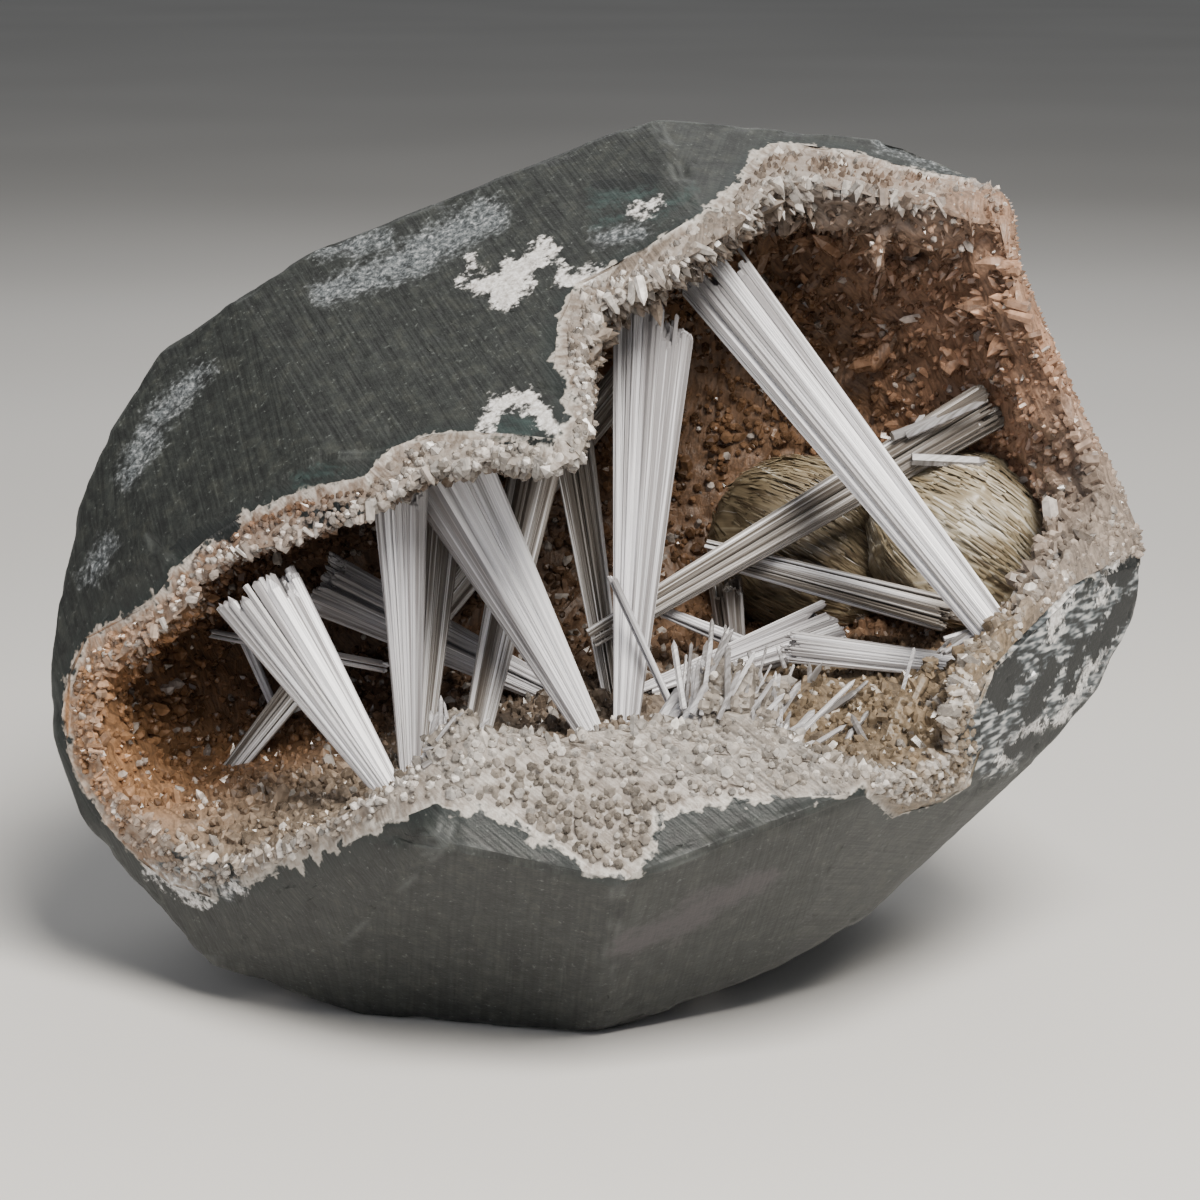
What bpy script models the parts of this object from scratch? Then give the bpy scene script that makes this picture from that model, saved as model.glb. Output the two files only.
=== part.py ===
"""Scolecite geode: a basalt nodule 130 mm wide, ground to flat facets and opened at the front.

A crust of small crystals lines its hollow, and wedge-shaped sprays of scolecite, thin needles
and a two-lobed fan of stilbite grow inside. The stone rests on a facet ground flat underneath.
"""

import math

import bmesh
import bpy
import numpy as np
from mathutils import Vector

MM = 0.001

# Driving dimensions, in millimetres unless a name says otherwise.
CLEARANCE = 0.3            # gap between the crust and the basalt that holds it
SPRAY_CLEARANCE = 0.45     # gap between a spray's ends and the crust
EDGE_WIDTH = 0.8           # flat worn along each edge of the ground facets
EDGE_ANGLE = math.radians(8)    # least turn between two facets whose edge is worn
FACET_MERGE = math.radians(3)   # neighbours that turn less than this are one facet
BASALT_WALL = 8.0          # basalt left around the hollow
BASALT_LIP = 3.2           # basalt left at the thin lip of the mouth
CRUST_WALL = 12.0          # basalt and crust together
CRUST_LIP = 5.8
BASALT_FLOOR = 26.5        # heights over the base, on the middle line
CRUST_FLOOR = 31.0
FLOOR_SLOPE = 0.15         # rise of the hollow's floor towards the right, mm per mm
LIP_RUN = 9.0              # depth over which the mouth's lower edge meets the floor
LUMP_SIZE = 7.0            # spacing of the crust's rounded lumps
LUMP_HEIGHT = 1.3
CRYSTAL_HEIGHT = 0.7       # how far single crystal faces stand out of the crust
BASALT_BACK = 43.0         # how far back the hollow reaches, y
CRUST_BACK = 38.5
BACK_ROUNDING = 3.5        # power of the curve that closes the hollow at the back
SPRAY_CORNERS = 10
SPRAY_FLATNESS = 0.62      # thickness over width
SPRAY_GROOVE = 0.84        # radius at a groove between two ridges, over the radius at a ridge
SPRAY_UNEVEN = 0.06        # how much single ridges differ, as a share of the radius
SPRAY_RINGS = (0.0, 0.45, 1.0)   # places along a spray where its section is set
STEP_HEIGHT = 0.25         # of a spray's wide end, over its width
SPRAY_POINT = 0.3          # length of the blunt point at the thin end, over its width
SPRAY_DOME = 0.1           # rise of the wide end's middle, over its width
LOBE_RIDGES = 8
LOBE_GROOVE = 0.95         # radius at a groove over the radius at a ridge
LOBE_RINGS = (-66, -40, -14, 14, 40, 66)   # degrees from the lobe's middle to each ring
CRYSTAL_COUNT = 26         # larger single crystals scattered on the crust
CRYSTAL_LENGTH = (2.4, 4.2)
CRYSTAL_WIDTH = (1.2, 2.0)
CRYSTAL_POINT = 0.4        # length of a crystal's blunt point, over its width
CRYSTAL_ROOT = 0.25        # share of its length that a crystal reaches into the crust
CRYSTAL_LEAN = 0.5
CRYSTAL_SPACING = 7.0
SPRAY_ROOM = 8.0           # no such crystal grows this close to a spray
LOBE_ROOM = 21.0           # or to the middle of a stilbite lobe
WAVES = 9                  # summed for the crust's lumps
SEED = 11

# The open front is measured in a straight view of it, from 420 mm away and 12 degrees above
# level. A place in that view is given in mm to the right of, above and beyond the view's middle.
VIEW_TILT = math.radians(12)
VIEW_DISTANCE = 420.0
VIEW_MIDDLE = np.array([0.0, 0.0, 46.0])
RIGHT = np.array([1.0, 0.0, 0.0])
UP = np.array([0.0, math.sin(VIEW_TILT), math.cos(VIEW_TILT)])
BEYOND = np.array([0.0, math.cos(VIEW_TILT), -math.sin(VIEW_TILT)])
FRONT = -75.0              # beyond: a place in front of the whole stone
RIM_DEPTHS = (-44.0, 10.0)   # the nearest and the farthest part of the mouth's rim
RIM_DEPTH = 1.0            # the hollow starts this far behind the stone's surface
HOLLOW_DEPTH = 60.0        # its usual depth and radius, which space its rows
HOLLOW_RADIUS = 42.0
LEAST_REACH = 2.0          # the hollow's smallest radius
RIM_ROUGHNESS = 0.35       # share of the crust's roughness that its ground rim keeps
HOLLOW_FRONT = (4.0, -2.0, -40.0)   # right, above, beyond: the hollow's middle line starts here
HOLLOW_BACK = (6.0, 50.0)           # and ends here, x and z
HOLLOW_CENTRE = (4.0, 0.0, 54.0)    # x, y, z: the scattered crystals point to it

# The finished stone is moved so that the middle of its outline's box stands over the origin.
STONE_MIDDLE = (-0.48, 2.33, 0.0)

# Corners of the ground facets, x, y, z.
STONE_CORNERS = {
    "crest": (6.5, 22, 101.5),
    "crown": (35, 25.5, 98.5),
    "brow_right": (49, 18, 93),
    "temple": (50, 15.5, 90),
    "brow_middle": (11.5, 1.5, 91.5),
    "roof_back_left": (-35.5, 20.5, 85),
    "roof_left": (-44, 17.5, 80),
    "lip_middle": (-4.5, -26.5, 69.5),
    "lip_left": (-31.5, -15.5, 66),
    "shoulder": (-54, 19, 73),
    "flank_top": (-59, 10, 65),
    "flank": (-62.5, 6.5, 57),
    "side_top": (-64.5, 2, 47),
    "side": (-65.5, -1.5, 38.5),
    "hip_top": (-65, -4.5, 30),
    "hip": (-61.5, -7.5, 21),
    "heel": (-46.5, -13, 5),
    "cheek": (-51.5, -10, 54.5),
    "cheek_low": (-38.5, -25.5, 17.5),
    "jaw_left": (-29.5, -28, 12.5),
    "ridge": (-17, -46.5, 29),
    "chin": (2, -47.5, 25),
    "chin_right": (29, -42.5, 34),
    "jaw_right": (44, -20, 28.5),
    "ear_front": (53, -13.5, 50),
    "ear": (64.5, 1, 52.5),
    "ear_low": (64.5, 3, 44),
    "cheek_right": (59.5, -2, 35.5),
    "cheek_right_low": (50.5, -11.5, 29),
    "keel_right": (31, -15.5, 11.5),
    "keel": (20.5, -18.5, 6),
    "base_front_right": (0, -24, 0),
    "base_front_left": (-28, -17, 0),
    "base_back_left": (-34, 24, 0),
    "base_back": (-4, 34, 0),
    "base_back_right": (26, 28, 0),
    "back_roof_left": (-30, 42, 84),
    "back_roof_right": (20, 48, 86),
    "back_right_top": (46, 42, 68),
    "back_right": (57, 32, 42),
    "back_left_top": (-57, 30, 58),
    "back_left": (-54, 34, 30),
    "back_middle": (-10, 52, 50),
    "back_middle_right": (30, 50, 38),
    "heel_back_left": (-32, 40, 10),
    "heel_back_right": (32, 38, 10),
}

# Outline of the mouth in the front view, right and above: where basalt ends and crust begins.
BASALT_RIM = [
    (49.5, 50), (43, 50), (35.5, 51.5), (29.5, 53.5), (20, 54.5), (18, 53.5), (16, 48.5),
    (10.5, 45), (5, 41.5), (0, 39), (-3, 37.5), (-5, 33.5), (-5.5, 28.5), (-3.5, 24), (-5, 19),
    (-9, 19.5), (-14.5, 20), (-19, 20), (-25, 18), (-28, 14.5), (-32, 14), (-38, 12), (-43.5, 9.5),
    (-48.5, 6), (-51.5, 2.5), (-53.5, -1), (-60, -3), (-62.5, -6), (-63.5, -10.5), (-64, -16),
    (-62, -21.5), (-58, -27.5), (-52.5, -33.5), (-45.5, -36), (-42, -34), (-37, -32), (-31, -29.5),
    (-24, -26), (-19, -24), (-12, -26), (-5, -29.5), (-1, -33), (2.5, -33.5), (6, -32.5),
    (6.5, -29.5), (6.5, -27.5), (8.5, -25), (19, -24), (31, -22.5), (32, -24), (33.5, -26),
    (39, -25), (44.5, -22), (45.5, -16.5), (45, -12), (47.5, -7), (53.5, -2.5), (54.5, 0),
    (58.5, 3), (62, 3.5), (67, 5), (67.5, 12), (60.5, 24), (52.5, 40.5),
]
# Outline of the free opening, inside the crust's rim.
CRUST_RIM = [
    (47.5, 44.5), (42, 46), (35.5, 47.5), (29.5, 49), (22.5, 50), (19, 48.5), (17.5, 45),
    (12, 41.5), (6.5, 38), (2.5, 36.5), (-0.5, 34.5), (-2, 31), (-2, 27.5), (-0.5, 23.5), (-2, 17),
    (-7, 15.5), (-14.5, 16.5), (-19, 15), (-23, 14.5), (-25.5, 11), (-31, 9.5), (-36, 7),
    (-41.5, 6), (-46, 4), (-48.5, 0.5), (-51, -3), (-54.5, -5.5), (-58.5, -7.5), (-59.5, -12),
    (-60.5, -16.5), (-58.5, -22), (-55, -26.5), (-50, -30), (-44.5, -32.5), (-40, -30),
    (-35.5, -28.5), (-29.5, -25), (-24.5, -23), (-21, -19), (-18, -17), (-12, -16), (-5, -16.5),
    (0, -15.5), (6.5, -14.5), (12, -13.5), (17, -13.5), (21, -15), (24.5, -18), (28.5, -19.5),
    (33.5, -21), (38.5, -21), (41.5, -19), (42, -13.5), (42, -9.5), (44.5, -6), (50, -1.5),
    (52.5, 2), (56.5, 6.5), (60, 10), (58, 17), (55, 24), (51.5, 31), (48, 40),
]
# The broken edge at the right of the mouth: what lies outside this line is chipped away.
BROKEN_EDGE = [
    (47.5, 50), (49, 45.5), (49.5, 40), (51.5, 35), (53.5, 30.5), (57.5, 21), (61, 15), (64.5, 7),
    (66, 1),
]
CHIP_OUTSIDE = [(76, 1), (76, 56), (47.5, 56)]
CHIP_DEPTH = (-40.0, 30.0)

# Sprays and needles: name, thin end and wide end (right, above, beyond), and the width at each.
SPRAYS = [
    ("scolecite_spray_01", (-24.5, -23.5, -22), (-40.0, 0.5, -16), 3.0, 10.5),
    ("scolecite_spray_02", (-22.5, -20.0, -6.5), (-23.5, 14.0, -14), 2.6, 7.0),
    ("scolecite_spray_03", (-0.5, -16.5, -4), (-18.5, 17.0, -8), 3.0, 11.0),
    ("scolecite_spray_04", (-14.5, -16.5, 1), (-7.0, 17.0, 4), 3.4, 6.5),
    ("scolecite_spray_05", (2.0, -14.0, 10), (-3.0, 18.5, 14), 2.4, 5.5),
    ("scolecite_spray_06", (-22.5, -6.0, 33), (3.0, 26.0, 25), 3.6, 5.0),
    ("scolecite_spray_07", (3.0, -17.5, -3), (6.8, 32.0, 1), 3.0, 10.0),
    ("scolecite_spray_08", (47.3, -4.0, -12), (14.5, 38.0, 6), 4.4, 9.0),
    ("scolecite_spray_09", (5.5, -1.0, 8), (45.5, 22.5, 12.5), 3.4, 6.0),
    ("scolecite_spray_10", (17.0, 4.5, 15), (41.5, -2.0, 6.8), 3.4, 4.8),
    ("scolecite_spray_11", (7.0, -11.5, 7), (27.0, -3.0, 10), 4.5, 6.0),
    ("scolecite_spray_12", (23.0, -5.5, 3), (42.0, -8.5, 1), 3.4, 4.0),
    ("scolecite_spray_13", (16.0, -8.0, 25), (15.0, 2.0, 17), 3.4, 4.6),
    ("scolecite_spray_14", (-6.5, -10.5, 15), (-32.0, 2.0, 8), 3.6, 8.0),
    ("scolecite_spray_15", (-21.0, -18.0, 1), (-18.5, 9.0, 1), 2.6, 5.0),
    ("scolecite_spray_16", (-43.0, -19.5, 9), (-35.0, -9.5, 6), 2.6, 3.6),
    ("scolecite_needle_01", (-46.0, -4.0, 20), (-25.5, -8.0, -3), 1.0, 1.2),
    ("scolecite_needle_02", (-38.0, -14.0, 21.5), (-43.5, -1.5, 20.5), 1.0, 1.4),
    ("scolecite_needle_03", (6.5, -1.0, 10), (21.0, -7.0, 15.5), 1.2, 2.0),
    ("scolecite_needle_04", (9.3, -14.5, -3), (1.5, 2.5, -7.5), 0.8, 1.0),
]

# Larger crystals on the lip and the floor, fused to the crust: both ends, and the width.
LEDGE_CRYSTALS = [
    ((-19.5, -18.0, -37), (-14.5, -14.0, -36), 3.4),
    ((-17.5, -18.0, -36), (-17.0, -13.0, -34), 2.6),
    ((13.0, -13.5, -37), (14.5, -6.5, -35), 3.0),
    ((16.5, -13.5, -36), (17.0, -7.5, -33), 3.6),
    ((19.5, -14.5, -36), (21.5, -9.5, -32), 2.6),
    ((25.0, -15.5, -8), (32.5, -10.5, -5), 1.6),
    ((33.5, -18.5, -22), (36.5, -11.5, -19), 2.6),
    ((32.5, -21.5, -23), (39.5, -7.0, -14), 1.0),
    ((28.5, -19.0, -22), (30.5, -13.5, -19), 1.8),
]
# Lobes of the stilbite fan: name, centre (right, above, beyond), half-sizes along the fibres,
# across them and in depth, and the fibres' turn from level.
LOBES = [
    ("stilbite_sheaf", (43.5, 6.5, 18), (12.5, 11.5, 13.0), math.radians(145)),
    ("left_lobe_cutter", (24.5, 6.0, 26), (12.5, 11.5, 8.0), math.radians(150)),
]
# Points round each surface of the hollow and rows from front to back.
POCKET_GRID = (76, 8)
SPACE_GRID = (88, 13)


def seen(right, above, beyond):
    """Points in world millimetres, from places given in the front view."""
    right, above, beyond = (np.asarray(v, float)[..., None] for v in (right, above, beyond))
    spread = 1 + beyond / VIEW_DISTANCE
    return VIEW_MIDDLE + spread * (right * RIGHT + above * UP) + beyond * BEYOND


def clear_scene():
    """Removes every object that the file starts with."""
    for obj in list(bpy.data.objects):
        bpy.data.objects.remove(obj, do_unlink=True)


def make_material(name, colour, roughness):
    """A plain Principled material."""
    made = bpy.data.materials.new(name)
    made.use_nodes = True
    shader = made.node_tree.nodes["Principled BSDF"]
    shader.inputs["Base Color"].default_value = (*colour, 1.0)
    shader.inputs["Roughness"].default_value = roughness
    made.diffuse_color = (*colour, 1.0)
    return made


def make_object(name, points, faces, material):
    """A mesh object from points in millimetres, its faces turned outwards."""
    mesh = bpy.data.meshes.new(name)
    mesh.from_pydata(((np.asarray(points) - STONE_MIDDLE) * MM).tolist(), [], faces)
    bm = bmesh.new()
    bm.from_mesh(mesh)
    bmesh.ops.recalc_face_normals(bm, faces=bm.faces)
    bm.to_mesh(mesh)
    bm.free()
    obj = bpy.data.objects.new(name, mesh)
    bpy.context.scene.collection.objects.link(obj)
    if material:
        mesh.materials.append(material)
    return obj


def make_cutter(obj):
    """Hides an object that only shapes others."""
    obj.hide_render = True
    obj.display_type = "WIRE"
    return obj


def cut(obj, other, operation):
    """Adds an exact Boolean with another object, and returns it."""
    modifier = obj.modifiers.new(operation.lower(), "BOOLEAN")
    modifier.operation = operation
    modifier.object = other
    modifier.solver = "EXACT"
    return modifier


def ground_form():
    """Points, faces and planes of the ground stone: the convex hull of its corners.

    Each plane is its outward normal and its distance from the origin of the corners' numbers.
    Facets that are nearly level with each other are merged.
    """
    bm = bmesh.new()
    for corner in STONE_CORNERS.values():
        bm.verts.new(Vector(corner))
    hull = bmesh.ops.convex_hull(bm, input=bm.verts)
    left_over = hull["geom_interior"] + hull["geom_unused"]
    inner = [item for item in left_over if isinstance(item, bmesh.types.BMVert)]
    bmesh.ops.delete(bm, geom=inner, context="VERTS")
    planes = [(*face.normal, face.normal.dot(face.verts[0].co)) for face in bm.faces]
    bmesh.ops.dissolve_limit(bm, angle_limit=FACET_MERGE, verts=bm.verts[:], edges=bm.edges[:])
    bm.verts.index_update()
    points = [tuple(v.co) for v in bm.verts]
    faces = [[v.index for v in face.verts] for face in bm.faces]
    bm.free()
    return points, faces, np.array(planes)


def make_stone(name, points, faces, material):
    """The solid stone with its edges worn."""
    stone = make_object(name, points, faces, material)
    worn = stone.modifiers.new("worn edges", "BEVEL")
    worn.width = EDGE_WIDTH * MM
    worn.segments = 1
    worn.limit_method = "ANGLE"
    worn.angle_limit = EDGE_ANGLE
    return stone


def make_chip():
    """A block outside the broken edge, running along the sight lines."""
    outline = np.array(BROKEN_EDGE + CHIP_OUTSIDE, float)
    rings = [seen(outline[:, 0], outline[:, 1], depth) for depth in CHIP_DEPTH]
    count = len(outline)
    sides = [[i, (i + 1) % count, count + (i + 1) % count, count + i] for i in range(count)]
    faces = sides + [list(range(count)), list(range(count, 2 * count))]
    return make_cutter(make_object("chip_cutter", np.concatenate(rings), faces, None))


def resampled(outline, count, inset):
    """The closed outline as evenly spaced points, moved inwards by the inset."""
    corners = np.array(outline, float)
    closed = np.vstack([corners, corners[:1]])
    length = np.concatenate([[0], np.cumsum(np.linalg.norm(np.diff(closed, axis=0), axis=1))])
    along = np.linspace(0, length[-1], count, endpoint=False)
    points = np.stack([np.interp(along, length, closed[:, k]) for k in (0, 1)], axis=-1)
    tangent = np.roll(points, -1, axis=0) - np.roll(points, 1, axis=0)
    inward = np.stack([-tangent[:, 1], tangent[:, 0]], axis=-1)
    return points + inset * inward / np.linalg.norm(inward, axis=1, keepdims=True)


def room(start, direction, planes, wall):
    """How far each direction leads while it stays a wall's thickness inside the planes."""
    along = direction @ planes[:, :3].T
    free = planes[:, 3] - wall - start @ planes[:, :3].T
    return np.where(along > 1e-6, free / np.maximum(along, 1e-6), np.inf).min(axis=-1)


def smooth_noise(points, spacing, seed):
    """Even noise, mostly within -1 to 1: twice the mean of waves in random directions."""
    rng = np.random.default_rng(seed)
    waves = rng.normal(size=(WAVES, 3))
    waves *= (2 * math.pi / spacing) / np.linalg.norm(waves, axis=1, keepdims=True)
    phase = rng.uniform(0, 2 * math.pi, WAVES)
    return np.sin(points @ waves.T + phase).mean(axis=-1) * 2


def depth_through(outline, planes):
    """Where each sight line enters the stone; for one that passes it by, where it comes nearest."""
    eye = VIEW_MIDDLE - VIEW_DISTANCE * BEYOND
    ray = BEYOND + (outline[:, :1] * RIGHT + outline[:, 1:] * UP) / VIEW_DISTANCE
    slope = ray @ planes[:, :3].T
    reach = (planes[:, 3] - planes[:, :3] @ eye) / slope - VIEW_DISTANCE
    enter = np.where(slope < 0, reach, -np.inf).max(axis=1)
    leave = np.where(slope > 0, reach, np.inf).min(axis=1)
    return np.clip(np.where(enter < leave, enter, (enter + leave) / 2), *RIM_DEPTHS)


def closing_profile(rows):
    """Shares of depth and width along the curve that closes the hollow, evenly spaced on it."""
    turn = np.linspace(0, math.pi / 2, 600)
    depth = np.sin(turn) ** (2 / BACK_ROUNDING)
    width = np.cos(turn) ** (2 / BACK_ROUNDING)
    run = np.hypot(np.diff(depth) * HOLLOW_DEPTH, np.diff(width) * HOLLOW_RADIUS)
    run = np.concatenate([[0], np.cumsum(run)])
    even = np.linspace(0, run[-1], rows + 1)[:-1]
    return np.interp(even, run, depth), np.interp(even, run, width)


def eased(value):
    """Runs from 0 to 1 with level ends."""
    value = np.clip(value, 0, 1)
    return value * value * (3 - 2 * value)


def hollow(outline, planes, walls, count, rows, inset=0.0, rough=False):
    """Points and faces of the hollow: a bag that opens to the front through the mouth's outline.

    Each row of points goes round the mouth at a depth between the rim and the back. A point lies
    as far from the middle line as the larger of two limits lets it: the wall's inset of the
    stone, and the mouth's own outline carried back, which keeps at least the lip's thickness.
    """
    lip, wall, floor, back = np.array(walls) + inset * np.array([1, 1, 1, -1])
    rim = resampled(outline, count, inset)
    enter = depth_through(resampled(outline, count, 0.0), planes)
    for _ in range(2):
        enter = (np.roll(enter, 1) + 2 * enter + np.roll(enter, -1)) / 4
    ground = np.array([[FLOOR_SLOPE, 0, -1, -floor]]) / math.hypot(FLOOR_SLOPE, 1)
    middle_start = seen(*HOLLOW_FRONT)
    middle_end = np.array([HOLLOW_BACK[0], back, HOLLOW_BACK[1]])
    last = (middle_end - VIEW_MIDDLE) @ BEYOND
    even = np.linspace(0, 2 * math.pi, count, endpoint=False)
    lattice = [seen(rim[:, 0], rim[:, 1], np.full(count, FRONT))]
    for row, (share, narrowing) in enumerate(zip(*closing_profile(rows))):
        depth = enter + RIM_DEPTH + share * (last - enter - RIM_DEPTH)
        along = (depth - HOLLOW_FRONT[2]) / (last - HOLLOW_FRONT[2])
        middle = middle_start + along[:, None] * (middle_end - middle_start)
        mouth = seen(rim[:, 0], rim[:, 1], depth)
        turn = np.unwrap(np.arctan2((mouth - middle) @ UP, (mouth - middle) @ RIGHT))
        bend = turn - even
        for _ in range(3):
            bend = (np.roll(bend, 1) + bend + np.roll(bend, -1)) / 3
        sunk = eased((depth - enter) / LIP_RUN)
        angle = turn + sunk * (even + bend - turn)
        way = np.cos(angle)[:, None] * RIGHT + np.sin(angle)[:, None] * UP
        floor_reach = room(middle, way, ground, 0.0)
        far_reach = np.minimum(room(middle, way, planes, wall), floor_reach)
        reach = np.linalg.norm(mouth - middle, axis=1)
        reach += sunk * (np.minimum(reach, floor_reach) - reach)
        if row > 0:
            thin_reach = room(middle, way, planes, lip)
            reach = np.maximum(far_reach, np.minimum(reach, thin_reach))
        ring = middle + (np.maximum(reach, LEAST_REACH) * narrowing)[:, None] * way
        if rough:
            rng = np.random.default_rng([SEED, row])
            lumps = LUMP_HEIGHT * smooth_noise(ring, LUMP_SIZE, SEED)
            crystals = CRYSTAL_HEIGHT * rng.uniform(-1, 1, count)
            strength = RIM_ROUGHNESS if row == 0 else 1.0
            ring = ring - strength * (lumps + crystals)[:, None] * way
        lattice.append(ring)
    ends = [seen(*HOLLOW_FRONT[:2], FRONT), middle_end]
    points = np.concatenate([*lattice, ends])
    return points, lofted_faces(len(lattice), count)


def lofted_faces(rings, count):
    """Triangles between rings of points, closed by a fan to a point at each end."""
    faces = []
    for ring in range(rings - 1):
        for i in range(count):
            a, b = ring * count + i, ring * count + (i + 1) % count
            faces += [[a, b, b + count], [a, b + count, a + count]]
    last = (rings - 1) * count
    faces += [[rings * count, (i + 1) % count, i] for i in range(count)]
    faces += [[rings * count + 1, last + i, last + (i + 1) % count] for i in range(count)]
    return faces


def crystal(start, end, width):
    """A six-sided prism with a blunt point, between two places in world millimetres."""
    axis = (end - start) / np.linalg.norm(end - start)
    across, through = frame_along(axis)
    turn = np.linspace(0, 2 * math.pi, 6, endpoint=False)
    section = width / 2 * (np.cos(turn)[:, None] * across + np.sin(turn)[:, None] * through)
    shoulder = end - CRYSTAL_POINT * width * axis
    return np.concatenate([start + section, shoulder + section, [start, end]]), lofted_faces(2, 6)


def scattered_crystals(wall_points):
    """Root, tip and width of single crystals that stand on the wall, apart from all else."""
    rng = np.random.default_rng([SEED, CRYSTAL_COUNT])
    spray_lines = [(seen(*thin), seen(*wide)) for _, thin, wide, _, _ in SPRAYS]
    lobe_middles = [seen(*centre) for _, centre, _, _ in LOBES]
    roots, forms = [], []
    for root in rng.permutation(wall_points):
        inward = np.array(HOLLOW_CENTRE) - root
        way = inward / np.linalg.norm(inward) + rng.uniform(-CRYSTAL_LEAN, CRYSTAL_LEAN, 3)
        length = rng.uniform(*CRYSTAL_LENGTH)
        width = rng.uniform(*CRYSTAL_WIDTH)
        spray_gap = min(distance_to_line(root, *line) for line in spray_lines)
        lobe_gap = min(np.linalg.norm(root - middle) for middle in lobe_middles)
        crystal_gap = min((np.linalg.norm(root - other) for other in roots), default=math.inf)
        if spray_gap > SPRAY_ROOM and lobe_gap > LOBE_ROOM and crystal_gap > CRYSTAL_SPACING:
            roots.append(root)
            forms.append((root - CRYSTAL_ROOT * length * way, root + length * way, width))
        if len(forms) == CRYSTAL_COUNT:
            break
    return forms


def crust_crystals(wall_points):
    """Points and faces of the crust's larger crystals: those listed, and the scattered ones."""
    listed = [(seen(*start), seen(*end), width) for start, end, width in LEDGE_CRYSTALS]
    points, faces = [], []
    for form in listed + scattered_crystals(wall_points):
        new_points, new_faces = crystal(*form)
        faces += [[len(points) + i for i in face] for face in new_faces]
        points += list(new_points)
    return np.array(points), faces


def distance_to_line(point, start, end):
    """Distance from a point to a stretch of line."""
    line = end - start
    share = np.clip((point - start) @ line / (line @ line), 0, 1)
    return np.linalg.norm(point - start - share * line)


def frame_along(axis):
    """Two directions at right angles to an axis: across the view, and through it."""
    across = np.cross(axis, BEYOND)
    across /= np.linalg.norm(across)
    return across, np.cross(axis, across)


def spray(thin, wide, thin_width, wide_width, seed):
    """A wedge of grown-together prisms: a flat ridged bar that widens along its length.

    The corners of its cross-section stand in and out in turn, and its wide end is stepped,
    because the prisms end at different lengths.
    """
    rng = np.random.default_rng([SEED, seed])
    start, end = seen(*thin), seen(*wide)
    axis = (end - start) / np.linalg.norm(end - start)
    across, through = frame_along(axis)
    turn = np.linspace(0, 2 * math.pi, SPRAY_CORNERS, endpoint=False)
    ridge = np.where(np.arange(SPRAY_CORNERS) % 2 == 0, 1.0, SPRAY_GROOVE)
    ridge = ridge * rng.uniform(1 - SPRAY_UNEVEN, 1 + SPRAY_UNEVEN, SPRAY_CORNERS)
    section = ridge[:, None] * (
        np.cos(turn)[:, None] * across + SPRAY_FLATNESS * np.sin(turn)[:, None] * through
    )
    rings = []
    for share in SPRAY_RINGS:
        half = (thin_width + share * (wide_width - thin_width)) / 2
        rings.append(start + share * (end - start) + half * section)
    steps = rng.uniform(-1, 1, SPRAY_CORNERS) * STEP_HEIGHT * wide_width
    rings[-1] = rings[-1] + steps[:, None] * axis
    ends = [start - SPRAY_POINT * thin_width * axis, end + SPRAY_DOME * wide_width * axis]
    return np.concatenate([*rings, ends]), lofted_faces(len(rings), SPRAY_CORNERS)


def lobe(centre, half_sizes, fibre_turn):
    """One lobe of the stilbite fan: an egg of flat faces, ridged along its fibres."""
    middle = seen(*centre)
    wide, high, deep = half_sizes
    fibre = math.cos(fibre_turn) * RIGHT + math.sin(fibre_turn) * UP
    side = -math.sin(fibre_turn) * RIGHT + math.cos(fibre_turn) * UP
    turn = np.linspace(0, 2 * math.pi, LOBE_RIDGES * 2, endpoint=False)
    ridge = np.where(np.arange(LOBE_RIDGES * 2) % 2 == 0, 1.0, LOBE_GROOVE)
    rings = []
    for slope in np.radians(LOBE_RINGS):
        round_section = math.cos(slope) * ridge[:, None] * (
            high * np.cos(turn)[:, None] * side - deep * np.sin(turn)[:, None] * BEYOND
        )
        rings.append(middle + math.sin(slope) * wide * fibre + round_section)
    ends = [middle - wide * fibre, middle + wide * fibre]
    return np.concatenate([*rings, ends]), lofted_faces(len(rings), LOBE_RIDGES * 2)


def make_hollow_cutter(name, *form):
    """A hidden body of a hollow's shape."""
    return make_cutter(make_object(name, *hollow(*form), None))


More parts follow.
